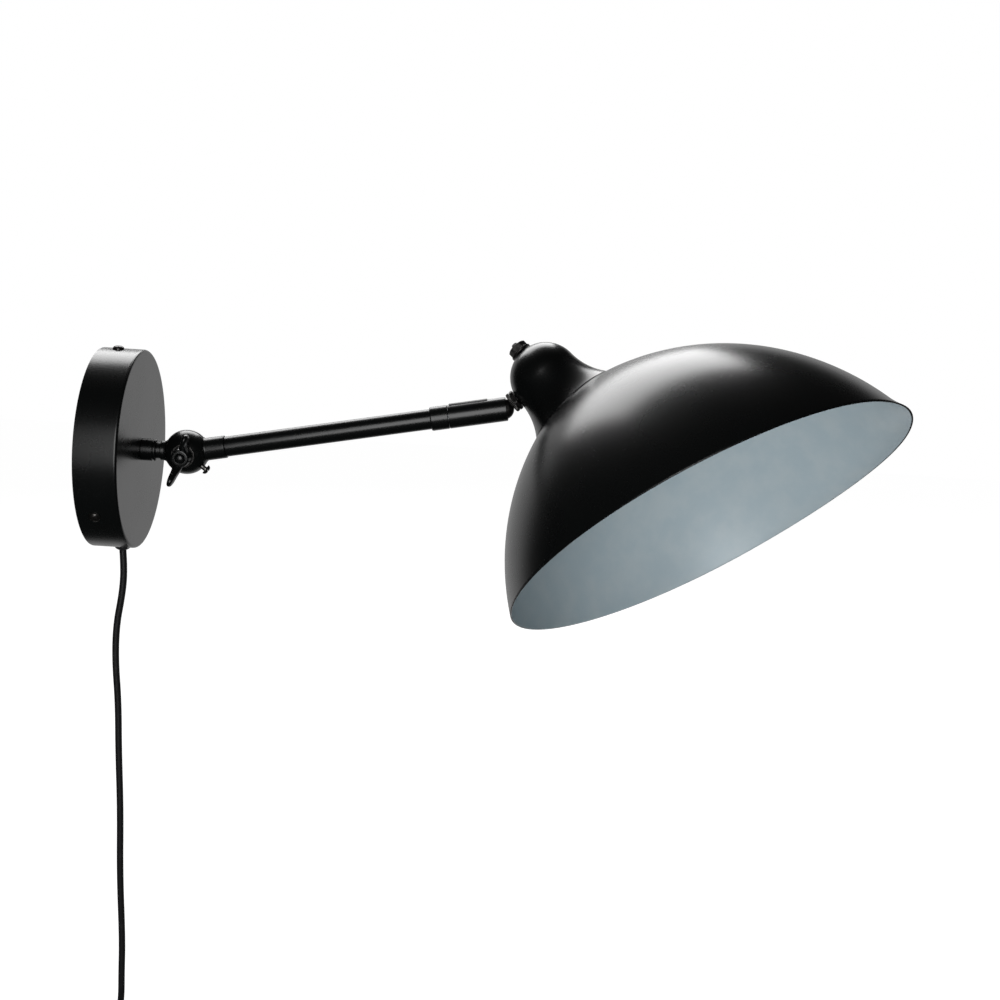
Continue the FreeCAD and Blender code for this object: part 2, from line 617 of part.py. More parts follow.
def lead_path(points):
    """Straight runs joined by tangent arcs, each as large as its two runs allow."""
    edges, start, radii = [], points[0], []
    for before, corner, after in zip(points, points[1:], points[2:]):
        incoming, outgoing = corner - before, after - corner
        half_turn = incoming.getAngle(outgoing) / 2
        setback = 0.45 * min(incoming.Length, outgoing.Length)
        radii.append(setback / math.tan(half_turn))
        first = corner - incoming.normalize() * setback
        last = corner + outgoing.normalize() * setback
        inwards = (first + last) * 0.5 - corner
        middle = corner + inwards.normalize() * radii[-1] * (1 / math.cos(half_turn) - 1)
        edges += [Part.LineSegment(start, first).toShape(), Part.Arc(first, middle, last).toShape()]
        start = last
    edges.append(Part.LineSegment(start, points[-1]).toShape())
    print("lead radii", ["%.0f" % radius for radius in radii])
    return Part.Wire(edges)


def feature(label, shape):
    item = document.addObject("Part::Feature", label)
    item.Label = label
    item.Shape = shape
    return item


def make_hanging_lead():
    """The stretch from the gland down to the coil."""
    radius = cell("lead_radius").value
    points = [Vector(*point) for point in LEAD_ROUTE]
    path = lead_path(points)
    section = Part.Wire([Part.makeCircle(radius, points[0], points[1] - points[0])])
    tube = path.makePipeShell([section], True, False)
    wanted = math.pi * radius ** 2 * path.Length
    if abs(tube.Volume / wanted - 1) > 0.02:
        raise RuntimeError("the lead's volume %.0f is not its section times its length %.0f"
                           % (tube.Volume, wanted))
    return [feature("lead_hanging", tube)]


def make_coil():
    """The wound length as one ring that faces the wall, its tail, and the strap round its side."""
    middle, bundle = cell("coil_middle"), cell("coil_bundle")
    centre = Vector(cell("coil_centre_x").value, 0, cell("coil_centre_z").value)
    half = bundle / 2
    corner = 4.0
    ring = turned("lead_coil", [
        (middle - half + corner, -half, corner), (middle + half - corner, -half),
        (middle + half, corner - half, corner), (middle + half, half - corner),
        (middle + half - corner, half, corner), (middle - half + corner, half),
        (middle - half, half - corner, corner), (middle - half, corner - half)])
    placed(ring, Placement(centre, turn(Y, 90)))
    outside = (middle + half).value
    top = centre.z - outside - 0.05
    tail = primitive("Cylinder", "lead_tail", Radius=cell("lead_radius"),
                     Height=top - cell("plug_top").value - 12.05)
    placed(tail, Placement(Vector(centre.x, 0, cell("plug_top").value + 12.0), Rotation()))
    loose, strap = 0.25, 1.2
    inner = primitive("Box", "tie_inside", Length=bundle + 2 * loose, Width=bundle + 2 * loose, Height=12)
    outer = primitive("Box", "tie_outside", Length=bundle + 2 * (loose + strap),
                      Width=bundle + 2 * (loose + strap), Height=6)
    for item, margin, height in ((inner, loose, 12), (outer, loose + strap, 6)):
        reach = half.value + margin
        placed(item, Placement(centre + Vector(-reach, middle.value - reach, -height / 2), Rotation()))
    return [ring, tail, cut("lead_tie", outer, inner)]


def make_plug():
    """A flat two-pin plug with a tapered strain relief."""
    top, x = cell("plug_top").value, cell("coil_centre_x").value
    relief = turned("plug_relief", [(0, 0), (3.6, 0), (2.9, 11.98), (0, 11.98)])
    placed(relief, Placement(Vector(x, 0, top), Rotation()))
    blank = primitive("Box", "plug_block", Length=13.0, Width=34.0, Height=31.0)
    placed(blank, Placement(Vector(x - 6.5, -17.0, top - 31.02), Rotation()))
    rounded = document.addObject("Part::Fillet", "plug_body")
    rounded.Label = "plug_body"
    rounded.Base = blank
    document.recompute()
    rounded.Edges = [(number, 4.5, 4.5) for number, edge in enumerate(blank.Shape.Edges, start=1)
                     if abs(edge.tangentAt(edge.FirstParameter).z) > 0.9
                     or edge.CenterOfMass.z > top - 1 and abs(edge.CenterOfMass.y) > 16]
    pins = []
    for number, sign in enumerate((-1, 1), start=1):
        pin = turned("plug_pin_%d" % number, [
            (0, 0), (2.0, 0), (2.0, -18.0), (1.0, -19.0, -1.0), (0, -19.0)])
        pins.append(placed(pin, Placement(Vector(x, sign * 9.3, top - 31.05), Rotation())))
    return [relief, rounded, *pins]


# ---------------------------------------------------------------- whole lamp

MAKERS = (
    make_wall_plate, make_canopy, make_side_screws, make_terminal_block, make_gland,
    make_stem, make_hinge, make_arm_hinge, make_wing_nut, make_arm, make_sleeve,
    make_ball_stud, make_cup, make_dome, make_apex, make_lamp_holder,
    make_hanging_lead, make_coil, make_plug)
subparts = [subpart for maker in MAKERS for subpart in maker()]
document.recompute()

failed = [item.Label for item in document.Objects
          if any(state in ("Invalid", "Error") for state in item.State)]
failed += [item.Label for item, name, value in Size.bound
           if abs(getattr(getattr(item, name), "Value", getattr(item, name)) - value) > 1e-6]
failed += [subpart.Label for subpart in subparts
           if subpart.Shape.isNull() or not subpart.Shape.isValid() or len(subpart.Shape.Solids) != 1]
if failed:
    raise RuntimeError("not built: %s" % ", ".join(failed))

os.makedirs("parts", exist_ok=True)
for subpart in subparts:
    subpart.Shape.exportStep("parts/%s.step" % subpart.Label)
    print("%-18s %9.0f mm3" % (subpart.Label, subpart.Shape.Volume))
print("%d sub-parts" % len(subparts))
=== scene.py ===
"""A plug-in swing-arm wall lamp in satin black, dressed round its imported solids.

A round canopy carries a stem that turns, a ball hinge with a wing nut, a straight arm, a turning
sleeve, a ball stud and a spun shade whose mouth is cut at a slant. A lead hangs from the canopy
and ends in a tied coil and a plug.

Sizes inside the classes are millimetres; a mesh is written in metres, in the lamp's own axes:
+X out of the wall, +Z up, and the origin at the middle of the canopy's back edge.
"""

import logging
import math
from dataclasses import dataclass
from enum import Enum
from typing import Any, Mapping, Sequence, Union

import bmesh
import bpy
import numpy as np
from mathutils import Matrix


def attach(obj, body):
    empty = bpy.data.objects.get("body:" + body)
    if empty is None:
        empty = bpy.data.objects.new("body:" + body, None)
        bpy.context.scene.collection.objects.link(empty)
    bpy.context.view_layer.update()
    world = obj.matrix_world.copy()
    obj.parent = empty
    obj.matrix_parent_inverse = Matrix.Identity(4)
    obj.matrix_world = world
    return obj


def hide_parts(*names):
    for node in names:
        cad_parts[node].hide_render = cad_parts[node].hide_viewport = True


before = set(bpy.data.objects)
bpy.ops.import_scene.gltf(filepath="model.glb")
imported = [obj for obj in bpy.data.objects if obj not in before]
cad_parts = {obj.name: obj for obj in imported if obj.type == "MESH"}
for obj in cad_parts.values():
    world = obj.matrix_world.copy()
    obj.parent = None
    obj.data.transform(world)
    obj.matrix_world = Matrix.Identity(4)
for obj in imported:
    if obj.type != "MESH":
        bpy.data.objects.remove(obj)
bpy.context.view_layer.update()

Array = np.ndarray
MM = 0.001
TINY = 1e-9
# Points nearer than this are merged, and faces thinner than this are dissolved, in metres.
MERGE, SLIVER = 3e-7, 1e-8
log = logging.getLogger("wall_lamp")


# ------------------------------------------------------------------ places

class Axis(Enum):
    """The lamp's main axes."""

    X = (1.0, 0.0, 0.0)
    Y = (0.0, 1.0, 0.0)
    Z = (0.0, 0.0, 1.0)


def turn(axis: Axis, degrees: float) -> Array:
    """Rotation matrix about a main axis.

    Formula: identity, plus the sine of the angle times the axis' cross matrix, plus one less the
    cosine times that matrix squared.

    Args:
        axis: the axis turned about.
        degrees: the angle, by the right hand.

    Returns:
        A 3 by 3 matrix.
    """
    x, y, z = axis.value
    cross = np.array([[0, -z, y], [z, 0, -x], [-y, x, 0]])
    angle = math.radians(degrees)
    return np.eye(3) + math.sin(angle) * cross + (1 - math.cos(angle)) * (cross @ cross)


@dataclass(frozen=True)
class Place:
    """Where a piece's own axes stand in the lamp, in millimetres."""

    origin: Array
    axes: Array

    def carry(self, points: Array) -> Array:
        """The lamp coordinates of points given in the place's own axes."""
        return points @ self.axes.T + self.origin

    def inner(self, offset: Sequence[float], axes: Array | None = None) -> "Place":
        """A place set inside this one, at an offset and turned by axes."""
        return Place(self.carry(np.array(offset, float)),
                     self.axes if axes is None else self.axes @ axes)


# Degrees that the arm and the ball stud rise at rest, and the millimetres from the hinge to the
# ball and from the ball to the shade.
ARM_SLOPE, STUD_SLOPE = 11.4, 41.2
PIVOT_ALONG, SHADE_ALONG = 193.7, 31.4
HINGE = np.array([51.9, 0.0, 0.0])
WALL = Place(np.zeros(3), turn(Axis.Y, 90))
ARM = Place(HINGE, turn(Axis.Y, 90 - ARM_SLOPE))
BOLT = Place(HINGE, turn(Axis.X, 90))
PIVOT = Place(ARM.carry(np.array([0, 0, PIVOT_ALONG])), turn(Axis.Y, 90 - STUD_SLOPE))
SHADE = Place(PIVOT.carry(np.array([0, 0, SHADE_ALONG])),
              turn(Axis.Z, -26.85) @ turn(Axis.Y, 127.56) @ turn(Axis.Z, -52.4))


def put(name: str, data: bpy.types.ID) -> bpy.types.Object:
    """A new object in the scene."""
    item = bpy.data.objects.new(name, data)
    bpy.context.scene.collection.objects.link(item)
    return item


def standing(right: Array, up: Array, out: Array, at: Array) -> Matrix:
    """The matrix of an object with those axes at a point, in metres."""
    return Matrix([[right[k], up[k], out[k], at[k]] for k in range(3)] + [[0, 0, 0, 1]])


# ------------------------------------------------------------------ surfaces

@dataclass(frozen=True)
class Surface:
    """A mesh as arrays: points, four-cornered faces, each face's finish, and the points' marks.

    The mark of a point is how far along its profile it lies, in millimetres, for turned rings.
    """

    points: Array
    faces: Array
    finish: Array
    marks: Array

    @staticmethod
    def grid(points: Array, rows: bool = False, columns: bool = False, finish: int = 0,
             marks: Array | None = None) -> "Surface":
        """Quads over a grid of points.

        Formula: the face of row i and column j joins points (i, j), (i, j + 1), (i + 1, j + 1) and
        (i + 1, j), where an index past a wrapped side starts again at 0.

        Args:
            points: the grid, rows by columns by 3.
            rows: whether the last row joins the first.
            columns: whether the last column joins the first.
            finish: the number of the finish that the faces take.
            marks: a mark for each row, or None.

        Returns:
            The surface.
        """
        high, wide = points.shape[:2]
        i, j = np.meshgrid(np.arange(high if rows else high - 1),
                           np.arange(wide if columns else wide - 1), indexing="ij")
        after_i, after_j = (i + 1) % high, (j + 1) % wide
        faces = np.stack([i * wide + j, i * wide + after_j,
                          after_i * wide + after_j, after_i * wide + j], -1).reshape(-1, 4)
        level = np.zeros(high) if marks is None else marks
        return Surface(points.reshape(-1, 3), faces, np.full(len(faces), finish),
                       np.repeat(level, wide))

    def __add__(self, other: "Surface") -> "Surface":
        """Both surfaces as one."""
        return Surface(np.concatenate([self.points, other.points]),
                       np.concatenate([self.faces, other.faces + len(self.points)]),
                       np.concatenate([self.finish, other.finish]),
                       np.concatenate([self.marks, other.marks]))

    def at(self, place: Place) -> "Surface":
        """The surface carried to a place."""
        return Surface(place.carry(self.points), self.faces, self.finish, self.marks)

    def painted(self, chosen: Array, finish: int) -> "Surface":
        """The surface with another finish on the chosen faces."""
        return Surface(self.points, self.faces, np.where(chosen, finish, self.finish), self.marks)


def rounded(corners: Sequence[tuple[float, float, float]], steps: int = 5,
            closed: bool = True) -> Array:
    """A section's outline with its corners rounded.

    Formula: with unit vectors a and b from a corner to its neighbours and h half the angle between
    them, the round of radius R starts R / tan h along a, ends as far along b, and its centre lies
    R / sin h along the sum of a and b. Its points turn evenly between. A point just before and one
    just after hold the flats flat.

    Args:
        corners: (across, along, radius) for each corner.
        steps: points on each round.
        closed: whether the last corner joins the first; otherwise both ends stay as they are.

    Returns:
        Points, n by 2.
    """
    table = np.array(corners, float)
    at, radius = table[:, :2], np.maximum(table[:, 2:3], 1e-6)
    if not closed:
        radius[[0, -1]] = 1e-6
    a, b = np.roll(at, 1, 0) - at, np.roll(at, -1, 0) - at
    long_a = np.linalg.norm(a, axis=1, keepdims=True)
    long_b = np.linalg.norm(b, axis=1, keepdims=True)
    a, b = a / np.maximum(long_a, TINY), b / np.maximum(long_b, TINY)
    half = np.arccos(np.clip((a * b).sum(1, keepdims=True), -0.99999, 0.99999)) / 2
    room = 0.46 * np.minimum(long_a, long_b)
    if not closed:
        room[[0, -1]] = 1.0
    back = np.minimum(radius / np.tan(half), room)
    radius = back * np.tan(half)
    both = a + b
    inwards = both / np.maximum(np.linalg.norm(both, axis=1, keepdims=True), TINY)
    centre = at + inwards * radius / np.sin(half)
    start, end = (at + a * back - centre) / radius, (at + b * back - centre) / radius
    sweep = (math.pi - 2 * half)[:, None, :]
    w = np.linspace(0, 1, steps)[None, :, None]
    arcs = centre[:, None] + radius[:, None] * (
        np.sin((1 - w) * sweep) * start[:, None] + np.sin(w * sweep) * end[:, None]) / np.sin(sweep)
    hold = np.minimum(0.25 * radius, 0.3 * (room - back))
    before, after = (at + a * (back + hold))[:, None], (at + b * (back + hold))[:, None]
    path = np.concatenate([before, arcs, after], 1)
    if not closed:
        path[[0, -1]] = at[[0, -1]][:, None]
    return path.reshape(-1, 2)


def arc(centre: tuple[float, float], radius: float, start: float, end: float, steps: int) -> Array:
    """Points on an arc, at even angles in degrees from start to end, both included."""
    angle = np.radians(np.linspace(start, end, steps))
    return np.stack([centre[0] + radius * np.cos(angle), centre[1] + radius * np.sin(angle)], 1)


def round_turn(steps: int) -> Array:
    """Even angles of one whole turn, in radians, the last short of the first."""
    return np.linspace(0, 2 * math.pi, steps, endpoint=False)


def turned(across: Array, along: Array, t: Array) -> Array:
    """A grid of points at radius across, height along and angle t about the place's own Z."""
    return np.stack(np.broadcast_arrays(across * np.cos(t), across * np.sin(t), along), -1)


def softened(t: Array, power: float) -> tuple[Array, Array]:
    """The cosine and the sine of t, each raised to a power with its sign kept."""
    cos, sin = (np.sign(v) * np.abs(v) ** power for v in (np.cos(t), np.sin(t)))
    return cos, sin


def lathe(profile: Array, sides: int = 96, closed: bool = True, finish: int = 0) -> Surface:
    """A profile turned about the place's own Z.

    Formula: the point of profile (r, z) at angle t is (r cos t, r sin t, z).

    Args:
        profile: (across, along) points; an open one starts and ends on the axis.
        sides: how many angles.
        closed: whether the profile's last point joins its first.
        finish: the finish's number.

    Returns:
        The surface.
    """
    points = turned(profile[:, :1], profile[:, 1:2], round_turn(sides))
    marks = np.concatenate([[0], np.cumsum(np.linalg.norm(np.diff(profile, axis=0), axis=1))])
    return Surface.grid(points, rows=closed, columns=True, finish=finish, marks=marks)


def hexagon(across_corners: float, bore: float, low: float, high: float) -> Surface:
    """A hexagon nut about the place's own Z, with both its faces chamfered.

    Formula: at angle t the flats lie at the apothem over the cosine of the angle from the nearest
    flat's middle. A cone of 30 degrees from the chamfer's circle takes off what lies outside it, so
    each flat ends in a curve. The bore is bevelled and closes the section.

    Args:
        across_corners: radius to the corners.
        bore: radius of the hole.
        low: where the nut starts along Z.
        high: where it ends.

    Returns:
        The surface.
    """
    t = round_turn(144)
    apothem = across_corners * math.cos(math.pi / 6)
    wall = apothem / np.cos((t + math.pi / 6) % (math.pi / 3) - math.pi / 6)
    wall = np.minimum(wall, across_corners * 0.985)
    circle = apothem * 0.965
    fall = (wall - circle) * math.tan(math.pi / 6)
    flat = np.full_like(t, 1.0)
    rows = [(flat * (bore + 0.35), flat * low), (flat * circle, flat * low),
            (wall, low + fall), (wall, low + fall + 0.12), (wall, high - fall - 0.12),
            (wall, high - fall), (flat * circle, flat * high), (flat * (bore + 0.35), flat * high),
            (flat * bore, flat * (high - 0.35)), (flat * bore, flat * (low + 0.35))]
    across, along = (np.stack(part) for part in zip(*rows))
    return Surface.grid(turned(across, along, t), rows=True, columns=True,
                        marks=np.arange(len(rows)) * 0.7)


def threaded(radius: float, low: float, high: float, pitch: float, depth: float,
             end_bevel: float = 0.5) -> Surface:
    """A threaded rod about the place's own Z, closed at both ends.

    Formula: at angle t and height z the radius is the rod's, less the depth times a flattened
    cosine of z over the pitch less t over a turn; near each end it shrinks to the bevel.

    Args:
        radius: outside radius.
        low: where the rod starts.
        high: where it ends.
        pitch: the thread's pitch.
        depth: the thread's depth.
        end_bevel: size of the bevel at each end.

    Returns:
        The surface.
    """
    t = round_turn(48)[None]
    z = np.linspace(low, high, max(12, int((high - low) / pitch * 10)))[:, None]
    wave = np.clip(0.5 - 0.75 * np.cos(2 * math.pi * z / pitch - t), 0, 1)
    across = radius - depth * (1 - wave)
    edge = np.minimum(z - low, high - z)
    across = np.minimum(across, radius - end_bevel + edge)
    points = turned(across, z, t)
    caps = np.zeros((1, t.shape[1], 3))
    first, last = caps + [0, 0, low], caps + [0, 0, high]
    return Surface.grid(np.concatenate([first, points, last]), columns=True)


def slotted_head(radius: float, base: float, height: float, slot: float, depth: float,
                 shank: float, foot: float) -> Surface:
    """A low domed screw head with a slot, on a plain shank, about the place's own Z.

    Formula: over the head a point at radius r and angle t stands at the base plus the height times
    the fourth-power dome of r, less the slot's depth where its distance from the slot's middle line
    is under half the slot's width, with steep sides. The outline then goes down the head's side,
    under it, down the shank and in to the axis.

    Args:
        radius: the head's radius.
        base: where the head starts along Z.
        height: the head's height.
        slot: the slot's width.
        depth: the slot's depth.
        shank: the shank's radius.
        foot: where the shank ends.

    Returns:
        The surface.
    """
    t = round_turn(96)[None]
    share = np.linspace(0, 1, 30)[:, None]
    r = radius * share * np.ones_like(t)
    dome = np.sqrt(np.clip(1 - share ** 3.2 * 0.98, 0, 1))
    off = np.abs(r * np.sin(t))
    cut = 1 - np.clip((off - slot / 2) / 0.12, 0, 1)
    top = base + np.maximum(height * dome - depth * cut, 0.12)
    head = turned(r, top, t)
    low = np.array([(radius, base), (shank, base), (shank, foot), (0.0, foot)])
    under = turned(low[:, :1], low[:, 1:2], t)
    return Surface.grid(np.concatenate([head, under]), columns=True)


def swept_oval(spine: Array, across: Array, thick: Array, normal: Array,
               sides: int = 28) -> Surface:
    """A bar with an oval section that changes along a curved spine, closed at both ends.

    Formula: at a spine point the section is the spine plus the cosine of t, raised to a power of
    0.8 with its sign, times the half width along the spine's own side, plus the sine of t raised so
    times the half thickness along the normal. The first and last sections shrink to a point.

    Args:
        spine: points down the middle, n by 3.
        across: half width at each.
        thick: half thickness at each.
        normal: the direction of the thickness.
        sides: points round a section.

    Returns:
        The surface.
    """
    ahead = np.gradient(spine, axis=0)
    ahead /= np.linalg.norm(ahead, axis=1, keepdims=True)
    side = np.cross(normal, ahead)
    t = round_turn(sides)
    soft = softened(t, 0.8)
    points = (spine[:, None] + side[:, None] * (across[:, None] * soft[0])[..., None]
              + np.array(normal)[None, None] * (thick[:, None] * soft[1])[..., None])
    return Surface.grid(points, columns=True)


def rounded_block(low: Sequence[float], high: Sequence[float], radius: float,
                  steps: int = 7) -> Surface:
    """A block with rounded edges and corners, closed.

    Formula: a ball's grid of directions, where each direction's ball point of the given radius is
    pushed out to the block's corner box by the sign of the direction.

    Args:
        low: lowest corner.
        high: highest corner.
        radius: the edges' radius.
        steps: points on a quarter of a turn.

    Returns:
        The surface.
    """
    low_at, high_at = np.array(low, float), np.array(high, float)
    centre, half = (low_at + high_at) / 2, (high_at - low_at) / 2 - radius
    quarter = np.linspace(0, math.pi / 2, steps)
    t = np.concatenate([quarter + k * math.pi / 2 for k in range(4)])
    sign_x = np.repeat([1, -1, -1, 1], steps)
    sign_y = np.repeat([1, 1, -1, -1], steps)
    p = np.concatenate([quarter - math.pi / 2, quarter])
    sign_z = np.repeat([-1, 1], steps)
    ball = turned(np.cos(p)[:, None], np.sin(p)[:, None], t)
    push = np.stack(np.broadcast_arrays(sign_x[None] * half[0], sign_y[None] * half[1],
                                        sign_z[:, None] * half[2]), -1)
    points = centre + radius * ball + push
    first = np.broadcast_to(centre + [0, 0, -half[2] - radius], points[:1].shape)
    last = np.broadcast_to(centre + [0, 0, half[2] + radius], points[:1].shape)
    return Surface.grid(np.concatenate([first, points, last]), columns=True)


# ------------------------------------------------------------------ shader kit

Value = Union["Wire", float, int]


class Wire:
    """A number's socket that takes Python's operators; each one adds a Math node."""

    def __init__(self, paint: "Paint", socket: bpy.types.NodeSocket) -> None:
        """Wrap a socket of a paint's node tree."""
        self.paint, self.socket = paint, socket

    def maths(self, operation: str, *values: Value) -> "Wire":
        """A Math node of that operation over values."""
        return self.paint.number("ShaderNodeMath", 0, {"operation": operation},
                                 dict(enumerate(values)))

    def __add__(self, other: Value) -> "Wire":
        """This plus other."""
        return self.maths("ADD", self, other)

    def __radd__(self, other: Value) -> "Wire":
        """Other plus this."""
        return self.maths("ADD", other, self)

    def __sub__(self, other: Value) -> "Wire":
        """This less other."""
        return self.maths("SUBTRACT", self, other)

    def __rsub__(self, other: Value) -> "Wire":
        """Other less this."""
        return self.maths("SUBTRACT", other, self)

    def __mul__(self, other: Value) -> "Wire":
        """This times other."""
        return self.maths("MULTIPLY", self, other)

    def __rmul__(self, other: Value) -> "Wire":
        """Other times this."""
        return self.maths("MULTIPLY", other, self)

    def __truediv__(self, other: Value) -> "Wire":
        """This over other."""
        return self.maths("DIVIDE", self, other)

    def __rtruediv__(self, other: Value) -> "Wire":
        """Other over this."""
        return self.maths("DIVIDE", other, self)

    def __pow__(self, other: Value) -> "Wire":
        """This to the power of other."""
        return self.maths("POWER", self, other)

    def __rpow__(self, other: Value) -> "Wire":
        """Other to the power of this."""
        return self.maths("POWER", other, self)

    def __neg__(self) -> "Wire":
        """This with its sign changed."""
        return self.maths("MULTIPLY", self, -1.0)

    def ramp(self, low: float, high: float) -> "Wire":
        """0 below low, 1 above high and a smooth step between; low may be the larger."""
        return self.paint.number("ShaderNodeMapRange", 0, {"interpolation_type": "SMOOTHSTEP"},
                                 {"Value": self, "From Min": low, "From Max": high})


class Paint:
    """Builds a node tree: Math by operators on wires, any other node by node()."""

    def __init__(self, tree: bpy.types.NodeTree) -> None:
        """Start with an empty tree."""
        self.tree = tree
        tree.nodes.clear()

    def node(self, kind: str, settings: Mapping[str, Any] | None = None,
             sockets: Mapping[Any, Any] | None = None) -> bpy.types.Node:
        """Add a node.

        Args:
            kind: Blender's name for the node's type.
            settings: properties of the node, set first.
            sockets: values or links by a socket's name or number.

        Returns:
            The node.
        """
        made = self.tree.nodes.new(kind)
        for key, value in (settings or {}).items():
            setattr(made, key, value)
        for key, value in (sockets or {}).items():
            if isinstance(value, Wire):
                self.tree.links.new(value.socket, made.inputs[key])
            elif isinstance(value, bpy.types.NodeSocket):
                self.tree.links.new(value, made.inputs[key])
            else:
                made.inputs[key].default_value = value
        return made

    def number(self, kind: str, output: Any, settings: Mapping[str, Any] | None = None,
               sockets: Mapping[Any, Any] | None = None) -> Wire:
        """A node's output as a wire."""
        return Wire(self, self.node(kind, settings, sockets).outputs[output])

    def spot(self) -> bpy.types.NodeSocket:
        """The object's coordinates, which are the lamp's own at rest."""
        return self.node("ShaderNodeTexCoord").outputs["Object"]

    def speckle(self, size: float, detail: float = 2.0, rough: float = 0.5) -> Wire:
        """Noise whose blots are about size millimetres across, from 0 to 1."""
        return self.number("ShaderNodeTexNoise", 0, {"noise_dimensions": "3D"},
                           {"Vector": self.spot(), "Scale": 1000.0 / size, "Detail": detail,
                            "Roughness": rough})

    def mark(self, name: str) -> Wire:
        """A number stored on the piece's points."""
        return self.number("ShaderNodeAttribute", "Fac", {"attribute_name": name})

    def rings(self, size: float) -> Wire:
        """Noise along a turned piece's profile alone, its rings about size millimetres apart."""
        return self.number("ShaderNodeTexNoise", 0, {"noise_dimensions": "1D"},
                           {"W": self.mark("along") / size, "Scale": 1.0, "Detail": 3.0})

    def blend(self, share: Value, first: Any, second: Any) -> bpy.types.NodeSocket:
        """A colour between two, by share."""
        sockets = {0: share, 6: first, 7: second}
        return self.node("ShaderNodeMix", {"data_type": "RGBA"}, sockets).outputs[2]

    def relief(self, height: Wire, depth: float,
               under: bpy.types.NodeSocket | None = None) -> bpy.types.NodeSocket:
        """A Bump node's normal for a height from 0 to 1 that is depth millimetres deep."""
        sockets = {"Height": height, "Distance": depth * MM, "Strength": 1.0}
        if under is not None:
            sockets["Normal"] = under
        return self.node("ShaderNodeBump", None, sockets).outputs[0]

    def surface(self, **sockets: Any) -> bpy.types.Node:
        """A Principled shader joined to the output; a socket's name has _ for each space."""
        shader = self.node("ShaderNodeBsdfPrincipled", None,
                           {name.replace("_", " "): value for name, value in sockets.items()})
        self.node("ShaderNodeOutputMaterial", None, {"Surface": shader.outputs[0]})
        return shader


Colour = tuple[float, float, float]


@dataclass(frozen=True)
class Finish:
    """What every finish has: a name and its own painting."""

    name: str

    def paint(self, on: Paint) -> None:
        """Put the finish's nodes in a tree."""
        raise NotImplementedError

    def material(self) -> bpy.types.Material:
        """The finish as a new material."""
        made = bpy.data.materials.new(self.name)
        made.use_nodes = True
        self.paint(Paint(made.node_tree))
        return made


@dataclass(frozen=True)
class SatinPaint(Finish):
    """Sprayed satin black: fine orange peel, clouds of gloss, a little dust and rubbed edges."""

    colour: Colour = (0.0024, 0.0029, 0.0029)
    dusty: Colour = (0.013, 0.0135, 0.0135)
    rubbed: Colour = (0.045, 0.046, 0.047)
    gloss: float = 0.27
    peel: float = 1.3
    peel_depth: float = 0.002

    def paint(self, on: Paint) -> None:
        """A peel of 1.3 mm, grit of 0.28 mm, gloss from clouds of 34 mm, dust and rubbed edges."""
        peel = on.speckle(self.peel, 2.0, 0.45)
        grit = on.speckle(0.28, 1.0, 0.5)
        clouds = on.speckle(34.0, 3.0, 0.55)
        dust = on.speckle(2.6, 5.0, 0.75).ramp(0.60, 0.80) * clouds.ramp(0.38, 0.68)
        wear = on.mark("edge") * on.speckle(1.8, 4.0, 0.7).ramp(0.52, 0.72)
        colour = on.blend(dust * 0.16, (*self.colour, 1), (*self.dusty, 1))
        colour = on.blend(wear * 0.30, colour, (*self.rubbed, 1))
        normal = on.relief(grit, 0.0004, on.relief(peel, self.peel_depth))
        rough = self.gloss + (clouds - 0.5) * 0.05 + dust * 0.08 + wear * 0.06
        on.surface(Base_Color=colour, Roughness=rough, IOR=1.5, Normal=normal)


@dataclass(frozen=True)
class InnerEnamel(Finish):
    """The shade's pale inside: enamel with faint spinning rings under it and a soft bloom."""

    colour: Colour = (0.37, 0.45, 0.49)
    bloom: Colour = (0.41, 0.48, 0.51)
    gloss: float = 0.36

    def paint(self, on: Paint) -> None:
        """Rings along the profile, a peel of 1.6 mm and blots of bloom of 18 mm."""
        rings = on.rings(2.4)
        peel = on.speckle(1.6, 2.0, 0.5)
        blots = on.speckle(18.0, 4.0, 0.6)
        specks = on.speckle(0.8, 2.0, 0.6).ramp(0.70, 0.78)
        colour = on.blend(blots.ramp(0.35, 0.7), (*self.colour, 1), (*self.bloom, 1))
        colour = on.blend(specks * 0.22, colour, (0.20, 0.24, 0.26, 1))
        normal = on.relief(rings, 0.010, on.relief(peel, 0.005))
        on.surface(Base_Color=colour, Roughness=self.gloss + (blots - 0.5) * 0.10, IOR=1.5,
                   Normal=normal)


@dataclass(frozen=True)
class DarkSteel(Finish):
    """Blackened steel: turned rings, brown-grey clouds and bare metal along the edges."""

    colour: Colour = (0.030, 0.029, 0.028)
    pale: Colour = (0.075, 0.072, 0.070)
    bare: Colour = (0.34, 0.33, 0.32)
    gloss: float = 0.30

    def paint(self, on: Paint) -> None:
        """Rings 0.35 mm apart along the profile, clouds of 2.5 mm and wear from the edge mark."""
        rings = on.rings(0.35)
        clouds = on.speckle(2.5, 4.0, 0.6)
        grain = on.speckle(0.2, 2.0, 0.6)
        wear = on.mark("edge") * on.speckle(0.9, 3.0, 0.65).ramp(0.44, 0.66)
        colour = on.blend(clouds.ramp(0.35, 0.7), (*self.colour, 1), (*self.pale, 1))
        colour = on.blend(wear * 0.6, colour, (*self.bare, 1))
        normal = on.relief(grain, 0.0012, on.relief(rings, 0.004))
        on.surface(Base_Color=colour, Metallic=0.9, Roughness=self.gloss + (clouds - 0.5) * 0.16,
                   Normal=normal)


